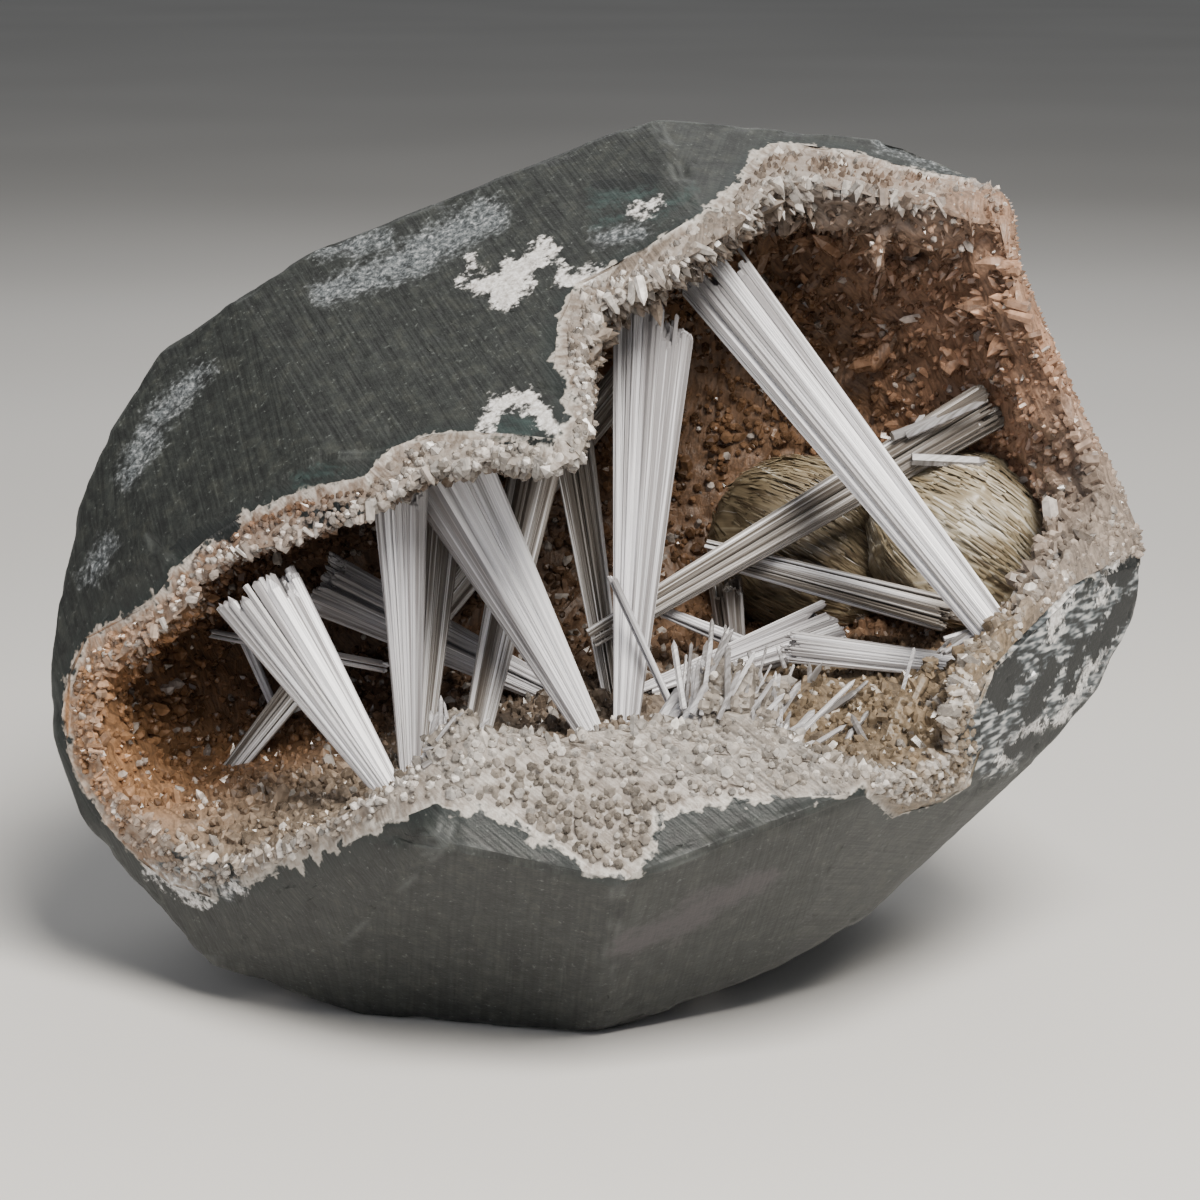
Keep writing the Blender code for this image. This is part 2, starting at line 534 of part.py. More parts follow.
def main():
    clear_scene()
    basalt = make_material("basalt", (0.045, 0.05, 0.047), 0.6)
    druse = make_material("druse", (0.55, 0.43, 0.33), 0.4)
    scolecite = make_material("scolecite", (0.82, 0.82, 0.84), 0.35)
    stilbite = make_material("stilbite", (0.6, 0.5, 0.38), 0.4)

    points, faces, planes = ground_form()
    chip = make_chip()
    blank = make_cutter(make_stone("stone_blank", points, faces, None))
    cut(blank, chip, "DIFFERENCE")

    in_basalt = (BASALT_LIP, BASALT_WALL, BASALT_FLOOR, BASALT_BACK)
    in_crust = (CRUST_LIP, CRUST_WALL, CRUST_FLOOR, CRUST_BACK)
    pocket = make_hollow_cutter("pocket_cutter", BASALT_RIM, planes, in_basalt, *POCKET_GRID)
    space_form = (CRUST_RIM, planes, in_crust, *SPACE_GRID)
    space = make_hollow_cutter("space_cutter", *space_form, 0.0, True)
    free = make_hollow_cutter("free_cutter", *space_form, SPRAY_CLEARANCE, True)

    shell = make_stone("basalt_shell", points, faces, basalt)
    cut(shell, chip, "DIFFERENCE")
    cut(shell, pocket, "DIFFERENCE")

    lining = hollow(BASALT_RIM, planes, in_basalt, *POCKET_GRID, CLEARANCE)
    crust = make_object("druse_crust", *lining, druse)
    cut(crust, blank, "INTERSECT")
    cut(crust, space, "DIFFERENCE")
    count, rows = SPACE_GRID
    wall_points = hollow(*space_form, 0.0, True)[0][2 * count:(rows - 2) * count]
    crystals = make_cutter(make_object("crystal_cutter", *crust_crystals(wall_points), None))
    cut(crust, crystals, "UNION").use_self = True

    for number, (name, *form) in enumerate(SPRAYS):
        cut(make_object(name, *spray(*form, number), scolecite), free, "INTERSECT")

    sheaf, left_lobe = (make_object(name, *lobe(*form), stilbite) for name, *form in LOBES)
    cut(sheaf, make_cutter(left_lobe), "UNION")
    cut(sheaf, free, "INTERSECT")


main()
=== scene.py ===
import itertools
import math

import bpy
import numpy as np
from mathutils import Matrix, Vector


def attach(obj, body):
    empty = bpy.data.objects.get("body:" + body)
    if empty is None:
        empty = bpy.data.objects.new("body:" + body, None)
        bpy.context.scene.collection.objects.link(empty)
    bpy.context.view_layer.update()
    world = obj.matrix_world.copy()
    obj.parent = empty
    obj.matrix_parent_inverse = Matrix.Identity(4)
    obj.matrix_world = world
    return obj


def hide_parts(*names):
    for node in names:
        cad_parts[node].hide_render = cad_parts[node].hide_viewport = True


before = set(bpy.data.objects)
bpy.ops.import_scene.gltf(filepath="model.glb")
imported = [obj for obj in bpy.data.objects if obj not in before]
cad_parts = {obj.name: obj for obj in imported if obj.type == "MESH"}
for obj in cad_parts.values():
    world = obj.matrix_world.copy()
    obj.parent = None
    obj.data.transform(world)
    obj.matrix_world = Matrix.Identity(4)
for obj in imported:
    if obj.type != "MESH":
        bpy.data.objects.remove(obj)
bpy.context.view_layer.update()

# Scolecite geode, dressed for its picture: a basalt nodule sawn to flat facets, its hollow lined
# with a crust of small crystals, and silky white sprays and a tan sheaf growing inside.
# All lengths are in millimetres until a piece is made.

MM = 0.001
SEED = 23

# The straight view of the open front, 12 degrees above level, that the places below are given
# in: millimetres to the right of, above and beyond its middle.
VIEW_TILT = math.radians(12)
VIEW_DISTANCE = 420.0
VIEW_MIDDLE = np.array([0.48, -2.33, 46.0])
VIEW_WIDTH = 142.5
RIGHT = np.array([1.0, 0.0, 0.0])
UP = np.array([0.0, math.sin(VIEW_TILT), math.cos(VIEW_TILT)])
BEYOND = np.array([0.0, math.cos(VIEW_TILT), -math.sin(VIEW_TILT)])
HOLLOW_MIDDLE = np.array([4.5, -2.3, 54.0])

# Sizes of the basalt's surface.
FACET_GRID = 1.6           # longest edge of a triangle on the basalt's outside
MARK_GRID = 0.9            # and where a mineral patch or a worn edge needs more
SAW_STEP = 0.75            # spacing of the saw marks
BLADE = np.array([0.9, 0.0, 0.42])   # the saw marks run at right angles to this
BLADE_SWING = math.radians(28)       # how far single facets differ from it
WORN_EDGE = 1.3            # reach of the chips along an edge
CHIP_DEPTH = 0.55

# Sizes of the crust.
CRUST_GRID = 1.3
GROUND_GRID = 0.8
FITTING_GAP = 0.34         # the CAD solids stand this far apart, the real crust grew on the basalt
CRYSTAL_COUNT = 20000
STUB_HEIGHT = 0.7          # crystals that were ground through stand this far proud at most
CRYSTAL_SIDES = 6

# Strokes of mineral, and one line of painted shadow, on the ground surfaces, in the front view:
# right, above and half width at one end, then the same at the other.
MARKS = {
    "chalk": [
        (-32.7, 36.6, 1.1, -21.4, 40.6, 1.7),
        (-23.8, 40.1, 1.7, -13.3, 45.7, 2.0),
        (-33.5, 41.8, 0.8, -26.1, 42.8, 1.1),
        (-52.3, 22.0, 1.1, -47.3, 27.1, 0.8),
        (-56.3, 14.5, 0.7, -53.4, 19.6, 1.0),
        (-60.8, 2.6, 0.6, -58.4, 6.5, 0.8),
        (0.0, 42.8, 0.4, 4.8, 43.7, 0.6),
        (33.3, 54.6, 0.6, 45.7, 50.4, 0.8),
    ],
    "white": [
        (-15.0, 37.3, 0.6, -11.3, 37.5, 1.7),
        (-11.3, 36.6, 1.9, -10.1, 38.5, 2.0),
        (-10.1, 38.5, 1.5, -6.5, 42.3, 0.5),
        (-6.8, 40.0, 0.4, -5.2, 41.6, 0.5),
        (-16.5, 37.6, 0.2, -15.1, 40.4, 0.2),
        (-4.5, 40.1, 0.4, -4.4, 37.6, 0.5),
        (-4.4, 37.5, 0.5, 0.0, 39.0, 0.6),
        (-13.9, 20.4, 0.6, -11.9, 23.4, 0.8),
        (-11.9, 23.4, 0.8, -8.3, 23.9, 1.0),
        (-8.3, 23.9, 1.0, -5.6, 20.2, 1.0),
        (3.6, 45.8, 0.5, 6.7, 46.9, 0.7),
        (-53.4, -32.3, 0.4, -46.9, -36.2, 0.5),
        (-49.2, -32.1, 0.4, -42.8, -34.7, 0.4),
        (53.4, -4.8, 0.4, 56.4, 4.8, 0.6),
        (54.6, -14.3, 0.5, 59.4, -5.9, 0.5),
        (47.5, -19.0, 0.5, 52.3, -14.3, 0.6),
        (59.4, 0.0, 0.4, 61.8, 4.8, 0.5),
    ],
    "teal": [
        (-11.9, 20.8, 1.2, -7.4, 20.4, 1.4),
        (-0.6, 47.7, 1.0, 5.9, 48.7, 1.1),
        (0.0, 44.9, 0.7, 3.0, 45.8, 0.7),
        (6.5, 45.7, 0.7, 10.7, 48.7, 0.5),
        (-35.6, 14.3, 0.7, -32.1, 15.4, 0.7),
    ],
    "dark": [
        (0.0, 49.2, 0.7, 6.5, 49.9, 0.8),
        # painted shadow: a near-black line under the lip, below the teal patch, where a small undercut lies
        (-11.3, 18.3, 0.5, -6.1, 18.9, 0.7),
        (-34.2, 10.0, 1.2, -29.5, 10.5, 1.3),
        (-49.2, 6.5, 1.0, -43.9, 8.8, 1.1),
        (-48.0, -29.7, 0.6, -43.2, -32.3, 0.5),
        (47.0, -11.9, 1.4, 48.9, -8.6, 1.7),
        (51.1, -13.8, 1.1, 53.7, -8.1, 1.2),
        (48.7, -17.8, 0.8, 51.1, -16.6, 1.0),
        (55.6, -10.7, 0.7, 57.5, -4.8, 1.0),
        (58.4, -5.9, 1.1, 62.7, -0.5, 1.5),
        (61.3, 2.4, 1.0, 63.2, 4.0, 1.0),
        (45.7, -8.1, 0.7, 46.3, -5.9, 0.6),
        (57.0, -14.3, 0.7, 58.9, -11.9, 0.7),
        (53.7, -17.2, 0.7, 55.8, -15.2, 0.7),
    ],
    "fibre": [
        (46.3, -17.2, 3.6, 54.6, -4.8, 4.8),
        (54.6, -10.7, 3.6, 62.4, 1.2, 3.6),
        (-51.3, -31.1, 1.4, -43.7, -34.2, 1.2),
        (54.6, -4.8, 1.2, 59.4, 11.9, 1.7),
    ],
    "mauve": [
        (2.6, -41.3, 1.2, 11.9, -37.3, 1.4),
        (10.7, -37.3, 1.7, 19.7, -33.0, 1.2),
    ],
}
LINE_REACH = 9.0           # distances to edges and rims are worked out this far
MARK_REACH = 3.0           # a mark's field is kept this far outside and inside its outline

# The druse's colours by place: right, above, beyond, reach of the colour, and the colour.
CRUST_COLOURS = [
    ((-53.0, -16.0, 5.0), 15.0, "#96704f"),     # rusty, deep left
    ((-40.0, 3.0, 8.0), 13.0, "#5f4534"),       # brown ceiling at the left, darker by painted shade under the roof
    ((-38.0, -25.0, -12.0), 13.0, "#837566"),   # beige floor at the left
    ((-10.0, -13.0, 0.0), 14.0, "#74685c"),     # grey-brown floor in the middle
    ((6.0, 38.0, -2.0), 12.0, "#74685d"),       # roof in the middle
    ((33.0, 46.0, -6.0), 17.0, "#6a6057"),      # grey roof at the right
    ((46.0, 29.0, 16.0), 19.0, "#a27d64"),      # rose-brown wall at the back right
    ((20.0, 22.0, 34.0), 17.0, "#7f6148"),      # ochre wall at the back
    ((58.0, 9.0, -4.0), 11.0, "#8b8076"),       # cream edge at the right
    ((34.0, -15.0, -8.0), 14.0, "#7b6b57"),     # sandy floor at the right
    ((3.0, -20.0, -38.0), 15.0, "#857d74"),     # the chin's milky mass
    ((-20.0, 0.0, 30.0), 18.0, "#6f5744"),      # brown, far back
]

# Blades and splinters that stand on the lip and the floor: both ends (right, above, beyond),
# the width of the group, and how many blades stand in it.
SPLINTERS = [
    ((-19.5, -18.0, -37), (-14.5, -14.0, -36), 3.4, 22),
    ((-17.5, -18.0, -36), (-17.0, -13.0, -34), 2.8, 18),
    ((12.0, -14.5, -36), (15.5, -6.5, -34), 4.2, 40),
    ((16.0, -14.0, -35), (16.8, -7.5, -33), 4.4, 40),
    ((19.0, -15.0, -35), (18.5, -9.0, -32), 4.0, 34),
    ((8.0, -16.0, -33), (13.5, -11.0, -33), 3.6, 24),
    ((21.0, -18.0, -30), (25.0, -14.0, -27), 3.2, 22),
    ((25.0, -15.5, -8), (32.5, -10.5, -5), 1.8, 7),
    ((33.5, -18.5, -22), (36.5, -11.5, -19), 2.4, 6),
    ((32.5, -21.5, -23), (39.5, -7.0, -14), 0.9, 2),
    ((28.5, -19.0, -22), (30.5, -13.5, -19), 1.8, 7),
    ((41.0, -5.5, -10), (46.5, -3.5, -11), 1.8, 7),
    ((36.0, 18.5, 11), (45.0, 23.5, 12), 3.0, 10),
    ((25.5, -9.5, -5), (26.5, -7.0, -5), 1.2, 2),
    ((22.5, -8.5, -4), (22.0, -6.0, -4), 1.0, 2),
]

SPRAYS = [f"scolecite_spray_{number:02d}" for number in range(1, 17)]
# Sprays deep in the hollow that take the darker, greyer copy of the scolecite: painted shade.
DIM_SPRAYS = ("04", "05", "06", "09", "10", "13", "15", "16")
NEEDLES = [f"scolecite_needle_{number:02d}" for number in range(1, 5)]
SPRAY_STATIONS = (0.2, 0.35, 0.5, 0.65, 0.8)
SPRAY_STEPS = 5            # rings along each of a spray's prisms, less one

# Lobes of the sheaf: middle (right, above, beyond), half sizes along the fibres, across them
# and in depth, and the fibres' turn from level.
LOBES = [
    ((43.5, 6.5, 18), (12.9, 11.9, 13.3), math.radians(145)),
    ((24.5, 6.0, 26), (12.9, 11.9, 8.3), math.radians(150)),
]
LOBE_GRID = (240, 80)
BLADE_COUNT = 2000         # blades that lie on each lobe
LOBE_FAN = 0.35            # how much the fibres spread from one end of a lobe to the other


def seen(place):
    """Points from places in the front view: the view's middle + right + above, spread with depth."""
    right, above, beyond = (v[..., None] for v in np.moveaxis(np.asarray(place, float), -1, 0))
    spread = 1 + beyond / VIEW_DISTANCE
    return VIEW_MIDDLE + spread * (right * RIGHT + above * UP) + beyond * BEYOND


def in_view(points):
    """The reverse: right and above of points, each divided by its spread."""
    gap = points - VIEW_MIDDLE
    spread = 1 + gap @ BEYOND / VIEW_DISTANCE
    return gap @ RIGHT / spread, gap @ UP / spread


def unit(ways):
    """Directions of length one."""
    return ways / np.maximum(np.linalg.norm(ways, axis=-1, keepdims=True), 1e-9)


def eased(value):
    """Runs from 0 to 1 with level ends: 3v² - 2v³."""
    value = np.clip(value, 0, 1)
    return value * value * (3 - 2 * value)


def linear(colour):
    """An sRGB hex colour as linear red, green, blue."""
    parts = np.array([int(colour[k:k + 2], 16) for k in (1, 3, 5)]) / 255
    return np.where(parts <= 0.04045, parts / 12.92, ((parts + 0.055) / 1.055) ** 2.4)


def grain(points, spacing, seed):
    """Noise from -1 to 1: random numbers on a cubic lattice, eased between its corners."""
    table = np.random.default_rng([SEED, seed]).uniform(-1, 1, (32, 32, 32))
    place = points / spacing
    cell = np.floor(place).astype(int)
    share = eased(place - cell)
    total = np.zeros(len(points))
    for corner in itertools.product((0, 1), repeat=3):
        weight = np.prod(np.where(corner, share, 1 - share), axis=-1)
        total += weight * table[tuple(((cell + corner) % 32).T)]
    return total


def domes(points, spacing, seed):
    """Rounded lumps from 0 to 1: one less the distance to the nearest point of a loose lattice."""
    table = np.random.default_rng([SEED, seed]).uniform(0.15, 0.85, (16, 16, 16, 3))
    place = points / spacing
    cell = np.floor(place).astype(int)
    nearest = np.full(len(points), 9.0)
    for step in itertools.product((-1, 0, 1), repeat=3):
        middle = cell + step + table[tuple(((cell + step) % 16).T)]
        nearest = np.minimum(nearest, np.linalg.norm(place - middle, axis=-1))
    return 1 - np.clip(nearest, 0, 1) ** 2


def solid_of(node):
    """Corners and triangles of a CAD node, its loose triangles joined where their corners agree."""
    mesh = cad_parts[node].data
    mesh.calc_loop_triangles()
    points = np.empty(3 * len(mesh.vertices), np.float32)
    mesh.vertices.foreach_get("co", points)
    faces = np.empty(3 * len(mesh.loop_triangles), np.int32)
    mesh.loop_triangles.foreach_get("vertices", faces)
    places = np.round(points.reshape(-1, 3).astype(float) / MM, 4)
    corners, index = np.unique(places, axis=0, return_inverse=True)
    faces = index.reshape(-1)[faces].reshape(-1, 3)
    whole = (faces != np.roll(faces, 1, axis=1)).all(axis=1)
    return corners, faces[whole]


def face_ways(points, faces):
    """Each triangle's outward direction, as long as its area: half the cross product of two edges."""
    a, b, c = (points[faces[:, k]] for k in range(3))
    return np.cross(b - a, c - a) / 2


def point_ways(points, faces, chosen):
    """At each point the mean direction of the chosen triangles round it, or zero."""
    ways = face_ways(points, faces) * chosen[:, None]
    total = np.zeros_like(points)
    for k in range(3):
        np.add.at(total, faces[:, k], ways)
    return unit(total)


def edges_of(faces):
    """Every edge of a closed surface once: its two points, and the two triangles that meet there."""
    ends = np.sort(np.stack([faces, np.roll(faces, -1, axis=1)], axis=-1), axis=-1).reshape(-1, 2)
    pairs = np.lexsort((ends[:, 1], ends[:, 0])).reshape(-1, 2)
    return ends[pairs[:, 0]], pairs // 3


def refined(points, faces, limits):
    """Halves every edge longer than the smaller limit of its two triangles, until none is.

    A triangle with one halved edge becomes two, with two it becomes three, and with three four.
    Each new triangle keeps its parent's number, which is returned with it.
    """
    parents = np.arange(len(faces))
    while True:
        ends = np.sort(np.stack([faces, np.roll(faces, -1, axis=1)], axis=-1), axis=-1)
        keys = ends[..., 0] * len(points) + ends[..., 1]
        edges, place = np.unique(keys, return_inverse=True)
        place = place.reshape(-1, 3)
        ends = np.stack([edges // len(points), edges % len(points)], axis=-1)
        limit = np.full(len(edges), np.inf)
        np.minimum.at(limit, place, np.repeat(limits[parents][:, None], 3, axis=1))
        halved = np.linalg.norm(points[ends[:, 0]] - points[ends[:, 1]], axis=1) > limit
        if not halved.any():
            return points, faces, parents
        middle = np.where(halved, len(points) + np.cumsum(halved) - 1, -1)
        points = np.concatenate([points, points[ends[halved]].mean(axis=1)])
        marks = middle[place]
        count = (marks >= 0).sum(axis=1)
        first = np.where(count == 1, (marks >= 0).argmax(axis=1), 0)
        first = np.where(count == 2, ((marks >= 0).argmin(axis=1) + 1) % 3, first)
        order = (np.arange(3) + first[:, None]) % 3
        a, b, c = np.take_along_axis(faces, order, 1).T
        p, q, r = np.take_along_axis(marks, order, 1).T
        across = np.linalg.norm(points[a] - points[q], axis=1)
        level = across <= np.linalg.norm(points[p] - points[c], axis=1)
        cases = [
            (count == 0, [(a, b, c)]),
            (count == 1, [(a, p, c), (p, b, c)]),
            ((count == 2) & level, [(p, b, q), (a, p, q), (a, q, c)]),
            ((count == 2) & ~level, [(p, b, q), (a, p, c), (p, q, c)]),
            (count == 3, [(a, p, r), (p, b, q), (r, q, c), (p, q, r)]),
        ]
        new = [(np.stack(part, axis=-1)[case], parents[case]) for case, parts in cases for part in parts]
        faces = np.concatenate([part for part, _ in new])
        parents = np.concatenate([parent for _, parent in new])


def stroke_field(right, above, strokes):
    """How far inside its nearest stroke each place lies: the half width there less the distance."""
    best = np.full(right.shape, -MARK_REACH)
    for r0, a0, w0, r1, a1, w1 in strokes:
        run, rise = r1 - r0, a1 - a0
        share = np.clip(((right - r0) * run + (above - a0) * rise) / (run ** 2 + rise ** 2), 0, 1)
        gap = np.hypot(right - r0 - share * run, above - a0 - share * rise)
        best = np.maximum(best, w0 + share * (w1 - w0) - gap)
    return np.minimum(best, MARK_REACH)


def gap_to_lines(points, starts, ends):
    """Distance to the nearest of many short lines, and how far along their whole run it lies.

    The distance counts up to a reach, so each line is held against the points near it alone.
    """
    best = np.full(len(points), LINE_REACH)
    along = np.zeros(len(points))
    run = 0.0
    order = np.argsort(points[:, 0])
    sorted_x = points[order, 0]
    for start, end in zip(starts, ends):
        line = end - start
        length = np.linalg.norm(line)
        low, high = min(start[0], end[0]) - LINE_REACH, max(start[0], end[0]) + LINE_REACH
        near = order[np.searchsorted(sorted_x, low):np.searchsorted(sorted_x, high)]
        offset = points[near] - start
        share = np.clip(offset @ line / length ** 2, 0, 1)
        offset -= share[:, None] * line
        gap = np.sqrt(np.einsum("ij,ij->i", offset, offset))
        nearer = gap < best[near]
        near = near[nearer]
        best[near] = gap[nearer]
        along[near] = run + share[nearer] * length
        run += length
    return best, along


def way_out(starts, ways, solid):
    """How far each ray runs before it leaves the solid: the least positive crossing of a triangle.

    A crossing's distance and its two shares of the triangle's edges come from Cramer's rule.
    """
    points, faces = solid
    a = points[faces[:, 0]]
    ab = points[faces[:, 1]] - a
    ac = points[faces[:, 2]] - a
    found = []
    for part in range(0, len(starts), 1000):
        way = ways[part:part + 1000, None]
        start = starts[part:part + 1000, None]
        across = np.cross(way, ac)
        scale = (across * ab).sum(axis=-1)
        scale = np.where(np.abs(scale) < 1e-12, 1e-12, scale)
        offset = start - a
        u = (offset * across).sum(axis=-1) / scale
        turned = np.cross(offset, ab)
        v = (turned * way).sum(axis=-1) / scale
        reach = (turned * ac).sum(axis=-1) / scale
        hit = (u >= -1e-6) & (v >= -1e-6) & (u + v <= 1 + 1e-6) & (reach > 1e-6)
        found.append(np.where(hit, reach, np.inf).min(axis=1))
    return np.concatenate(found)


def make_piece(name, points, faces, material, fields=None, maps=None, sharp=180):
    """A mesh piece that rides on the stone: points, triangles, values kept at points, and UV maps."""
    mesh = bpy.data.meshes.new(name)
    mesh.vertices.add(len(points))
    mesh.vertices.foreach_set("co", (points * MM).astype(np.float32).ravel())
    mesh.loops.add(faces.size)
    mesh.loops.foreach_set("vertex_index", faces.astype(np.int32).ravel())
    mesh.polygons.add(len(faces))
    mesh.polygons.foreach_set("loop_start", np.arange(0, faces.size, faces.shape[1], dtype=np.int32))
    mesh.update(calc_edges=True)
    for title, values in (fields or {}).items():
        if values.ndim == 1:
            kept = mesh.attributes.new(title, "FLOAT", "POINT")
            kept.data.foreach_set("value", values.astype(np.float32))
        else:
            kept = mesh.attributes.new(title, "FLOAT_COLOR", "POINT")
            colours = np.concatenate([values, np.ones((len(values), 1))], axis=1)
            kept.data.foreach_set("color", colours.astype(np.float32).ravel())
    for title, values in (maps or {}).items():
        mesh.uv_layers.new(name=title).data.foreach_set("uv", values.astype(np.float32).ravel())
    if sharp > 0:
        mesh.shade_smooth()
        mesh.set_sharp_from_angle(angle=math.radians(sharp))
    else:
        mesh.shade_flat()
    mesh.materials.append(material)
    piece = bpy.data.objects.new(name, mesh)
    bpy.context.scene.collection.objects.link(piece)
    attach(piece, "root")
    return piece


# Materials

def add(tree, kind, values=None, stops=None, **settings):
    """Adds a node with its settings, its inputs' values or links, and a ramp's stops."""
    made = tree.nodes.new("ShaderNode" + kind)
    for key, value in settings.items():
        setattr(made, key, value)
    for key, value in (values or {}).items():
        if isinstance(value, bpy.types.NodeSocket):
            tree.links.new(value, made.inputs[key])
        elif isinstance(value, str):
            made.inputs[key].default_value = (*linear(value), 1)
        else:
            made.inputs[key].default_value = value
    for number, (place, colour) in enumerate(stops or ()):
        stop = made.color_ramp.elements
        stop = stop[number] if number < 2 else stop.new(place)
        stop.position = place
        stop.color = (*linear(colour), 1)
    return made.outputs[0]


def new_material(name, **values):
    """A material's tree, its shader with these values, and Object coordinates in millimetres."""
    made = bpy.data.materials.new(name)
    made.use_nodes = True
    tree = made.node_tree
    shader = tree.nodes["Principled BSDF"]
    for key, value in values.items():
        shader.inputs[key.replace("_", " ")].default_value = value
    place = tree.nodes.new("ShaderNodeTexCoord").outputs["Object"]
    scaled = add(tree, "VectorMath", {0: place, "Scale": 1 / MM}, operation="SCALE")
    return made, tree, shader, scaled


def mark_mask(tree, title, ragged, soft):
    """Where a mark's field, made ragged by a noise, is above zero: 0 to 1 over a soft width."""
    kept = add_field(tree, title)
    sum_ = add(tree, "Math", {0: kept, 1: ragged}, operation="ADD")
    return add(tree, "MapRange", {0: sum_, 1: -soft, 2: soft}, interpolation_type="SMOOTHSTEP")


def add_field(tree, title):
    """The value that the piece keeps at its points under this name."""
    made = tree.nodes.new("ShaderNodeAttribute")
    made.attribute_name = title
    return made.outputs["Fac"]


def add_tint(tree, title):
    """The colour that the piece keeps at its points under this name."""
    made = tree.nodes.new("ShaderNodeAttribute")
    made.attribute_name = title
    return made.outputs["Color"]


def blend(tree, share, first, second, kind="MIX"):
    """One colour laid over another by a share."""
    made = tree.nodes.new("ShaderNodeMix")
    made.data_type = "RGBA"
    made.blend_type = kind
    for key, value in ((0, share), (6, first), (7, second)):
        if isinstance(value, bpy.types.NodeSocket):
            tree.links.new(value, made.inputs[key])
        elif isinstance(value, str):
            made.inputs[key].default_value = (*linear(value), 1)
        else:
            made.inputs[key].default_value = value
    return made.outputs[2]


def centred(tree, value, size):
    """A 0 to 1 noise as a swing of this size round zero."""
    return add(tree, "MapRange", {0: value, 1: 0.2, 2: 0.8, 3: -size, 4: size})


def ground_surface(tree, mm):
    """The nodule's ground surface, basalt and cut crust, with its marks. Returns colour and chalk.

    The field rim_side is the distance to the line between them, below zero on the basalt. A
    noise makes that line ragged, and both solids read it, so neither shows where it ends.
    """
    # One noise, 0.6 mm and finer, gives the basalt's grain of 0.1 to 0.3 mm, drawn coarser so
    # that it shows, its specks and the raggedness of the marks; another bends larger outlines.
    fine = add(tree, "TexNoise", {"Vector": mm, "Scale": 1.5, "Detail": 2.0, "Roughness": 0.75})
    wide = add(tree, "TexNoise", {"Vector": mm, "Scale": 0.5, "Detail": 2.0, "Roughness": 0.6})
    ragged = add(tree, "Math", {0: centred(tree, wide, 1.2), 1: centred(tree, fine, 0.7)},
                 operation="ADD")
    body = add(tree, "ValToRGB", {0: wide}, [(0.3, "#161817"), (0.5, "#212422"), (0.7, "#2c2e2a")])
    # Saw marks 0.75 mm apart: the map's first number runs across them, the second along them.
    sawn = add(tree, "UVMap", uv_map="sawn")
    stretched = add(tree, "Mapping", {"Vector": sawn, "Scale": (1.6 / SAW_STEP, 0.08, 1.0)})
    lines = add(tree, "TexNoise", {"Vector": stretched, "Scale": 1.0, "Detail": 1.0},
                noise_dimensions="2D")
    both = add(tree, "Math", {0: fine, 1: lines}, operation="ADD")
    shade = add(tree, "MapRange", {0: both, 1: 0.7, 2: 1.3, 3: 0.55, 4: 1.45})
    body = blend(tree, 1.0, body, shade, "MULTIPLY")
    body = blend(tree, add(tree, "MapRange", {0: fine, 1: 0.64, 2: 0.74, 4: 0.35}), body, "#7b807c")
    worn = add(tree, "MapRange", {0: add_field(tree, "worn"), 1: 0.2, 2: 1.0, 4: 0.3})
    body = blend(tree, worn, body, "#5f6361")
    uneven = add(tree, "Math", {0: centred(tree, wide, 1.5), 1: centred(tree, fine, 0.25)},
                 operation="ADD")
    side = add(tree, "Math", {0: add_field(tree, "rim_side"), 1: uneven}, operation="ADD")
    body = blend(tree, add(tree, "MapRange", {0: side, 1: -2.2, 2: -0.3, 4: 0.7}), body, "#161e1d")
    # Cut grains of the crust: a value kept at the points, drawn out across it near the basalt.
    comb = add(tree, "UVMap", uv_map="comb")
    drawn = add(tree, "Mapping", {"Vector": comb, "Scale": (1 / 0.8, 1 / 3.0, 1.0)})
    columns = add(tree, "TexNoise", {"Vector": drawn, "Scale": 1.0, "Detail": 1.0},
                  noise_dimensions="2D")
    near = add(tree, "MapRange", {0: side, 1: 1.5, 2: 3.0})
    cut = blend(tree, near, columns, add_field(tree, "cells"))
    cut = blend(tree, 0.35, cut, fine)
    pale = add(tree, "ValToRGB", {0: cut}, [(0.3, "#463b32"), (0.42, "#6f6359"), (0.54, "#989089"),
                                            (0.7, "#cbc7c1")])
    pale = blend(tree, 0.6, pale, add_tint(tree, "tint"))
    pale = blend(tree, add(tree, "MapRange", {0: side, 1: 1.1, 2: 0.1, 4: 0.5}), pale, "#cfcbc3")
    ground = blend(tree, add(tree, "MapRange", {0: side, 1: -0.25, 2: 0.25}), body, pale)
    # The marks: long fibrous streaks, mottled teal, speckled chalk, cream and near black, one of
    # the near-black ones a line of painted shadow under the lip.
    fibres = add(tree, "Mapping", {"Vector": mm, "Rotation": (0.0, math.radians(-38), 0.0),
                                   "Scale": (0.28, 0.5, 1.5)})
    streak = add(tree, "TexNoise", {"Vector": fibres, "Scale": 1.0, "Detail": 1.0})
    fibre = add(tree, "ValToRGB", {0: streak}, [(0.4, "#141819"), (0.5, "#4b5154"), (0.57, "#858889"),
                                                (0.68, "#b5b5b3")])
    teal = add(tree, "ValToRGB", {0: streak}, [(0.3, "#131a19"), (0.7, "#2c3a38")])
    chalk = add(tree, "ValToRGB", {0: fine}, [(0.34, "#24282a"), (0.46, "#484d50"), (0.58, "#6a6e70"),
                                              (0.7, "#94979a")])
    white = add(tree, "ValToRGB", {0: fine}, [(0.3, "#99948f"), (0.5, "#c2bfbc"), (0.7, "#e3e2e1")])
    chalk_mask = mark_mask(tree, "chalk", ragged, 1.2)
    layers = (("fibre", 0.7, fibre), ("teal", 0.9, teal), ("chalk", 1.2, chalk),
              ("mauve", 1.2, "#3b3739"), ("white", 0.45, white), ("dark", 0.3, "#0f1313"))
    for title, soft, laid in layers:
        ground = blend(tree, mark_mask(tree, title, ragged, soft), ground, laid)
    return ground, chalk_mask, both


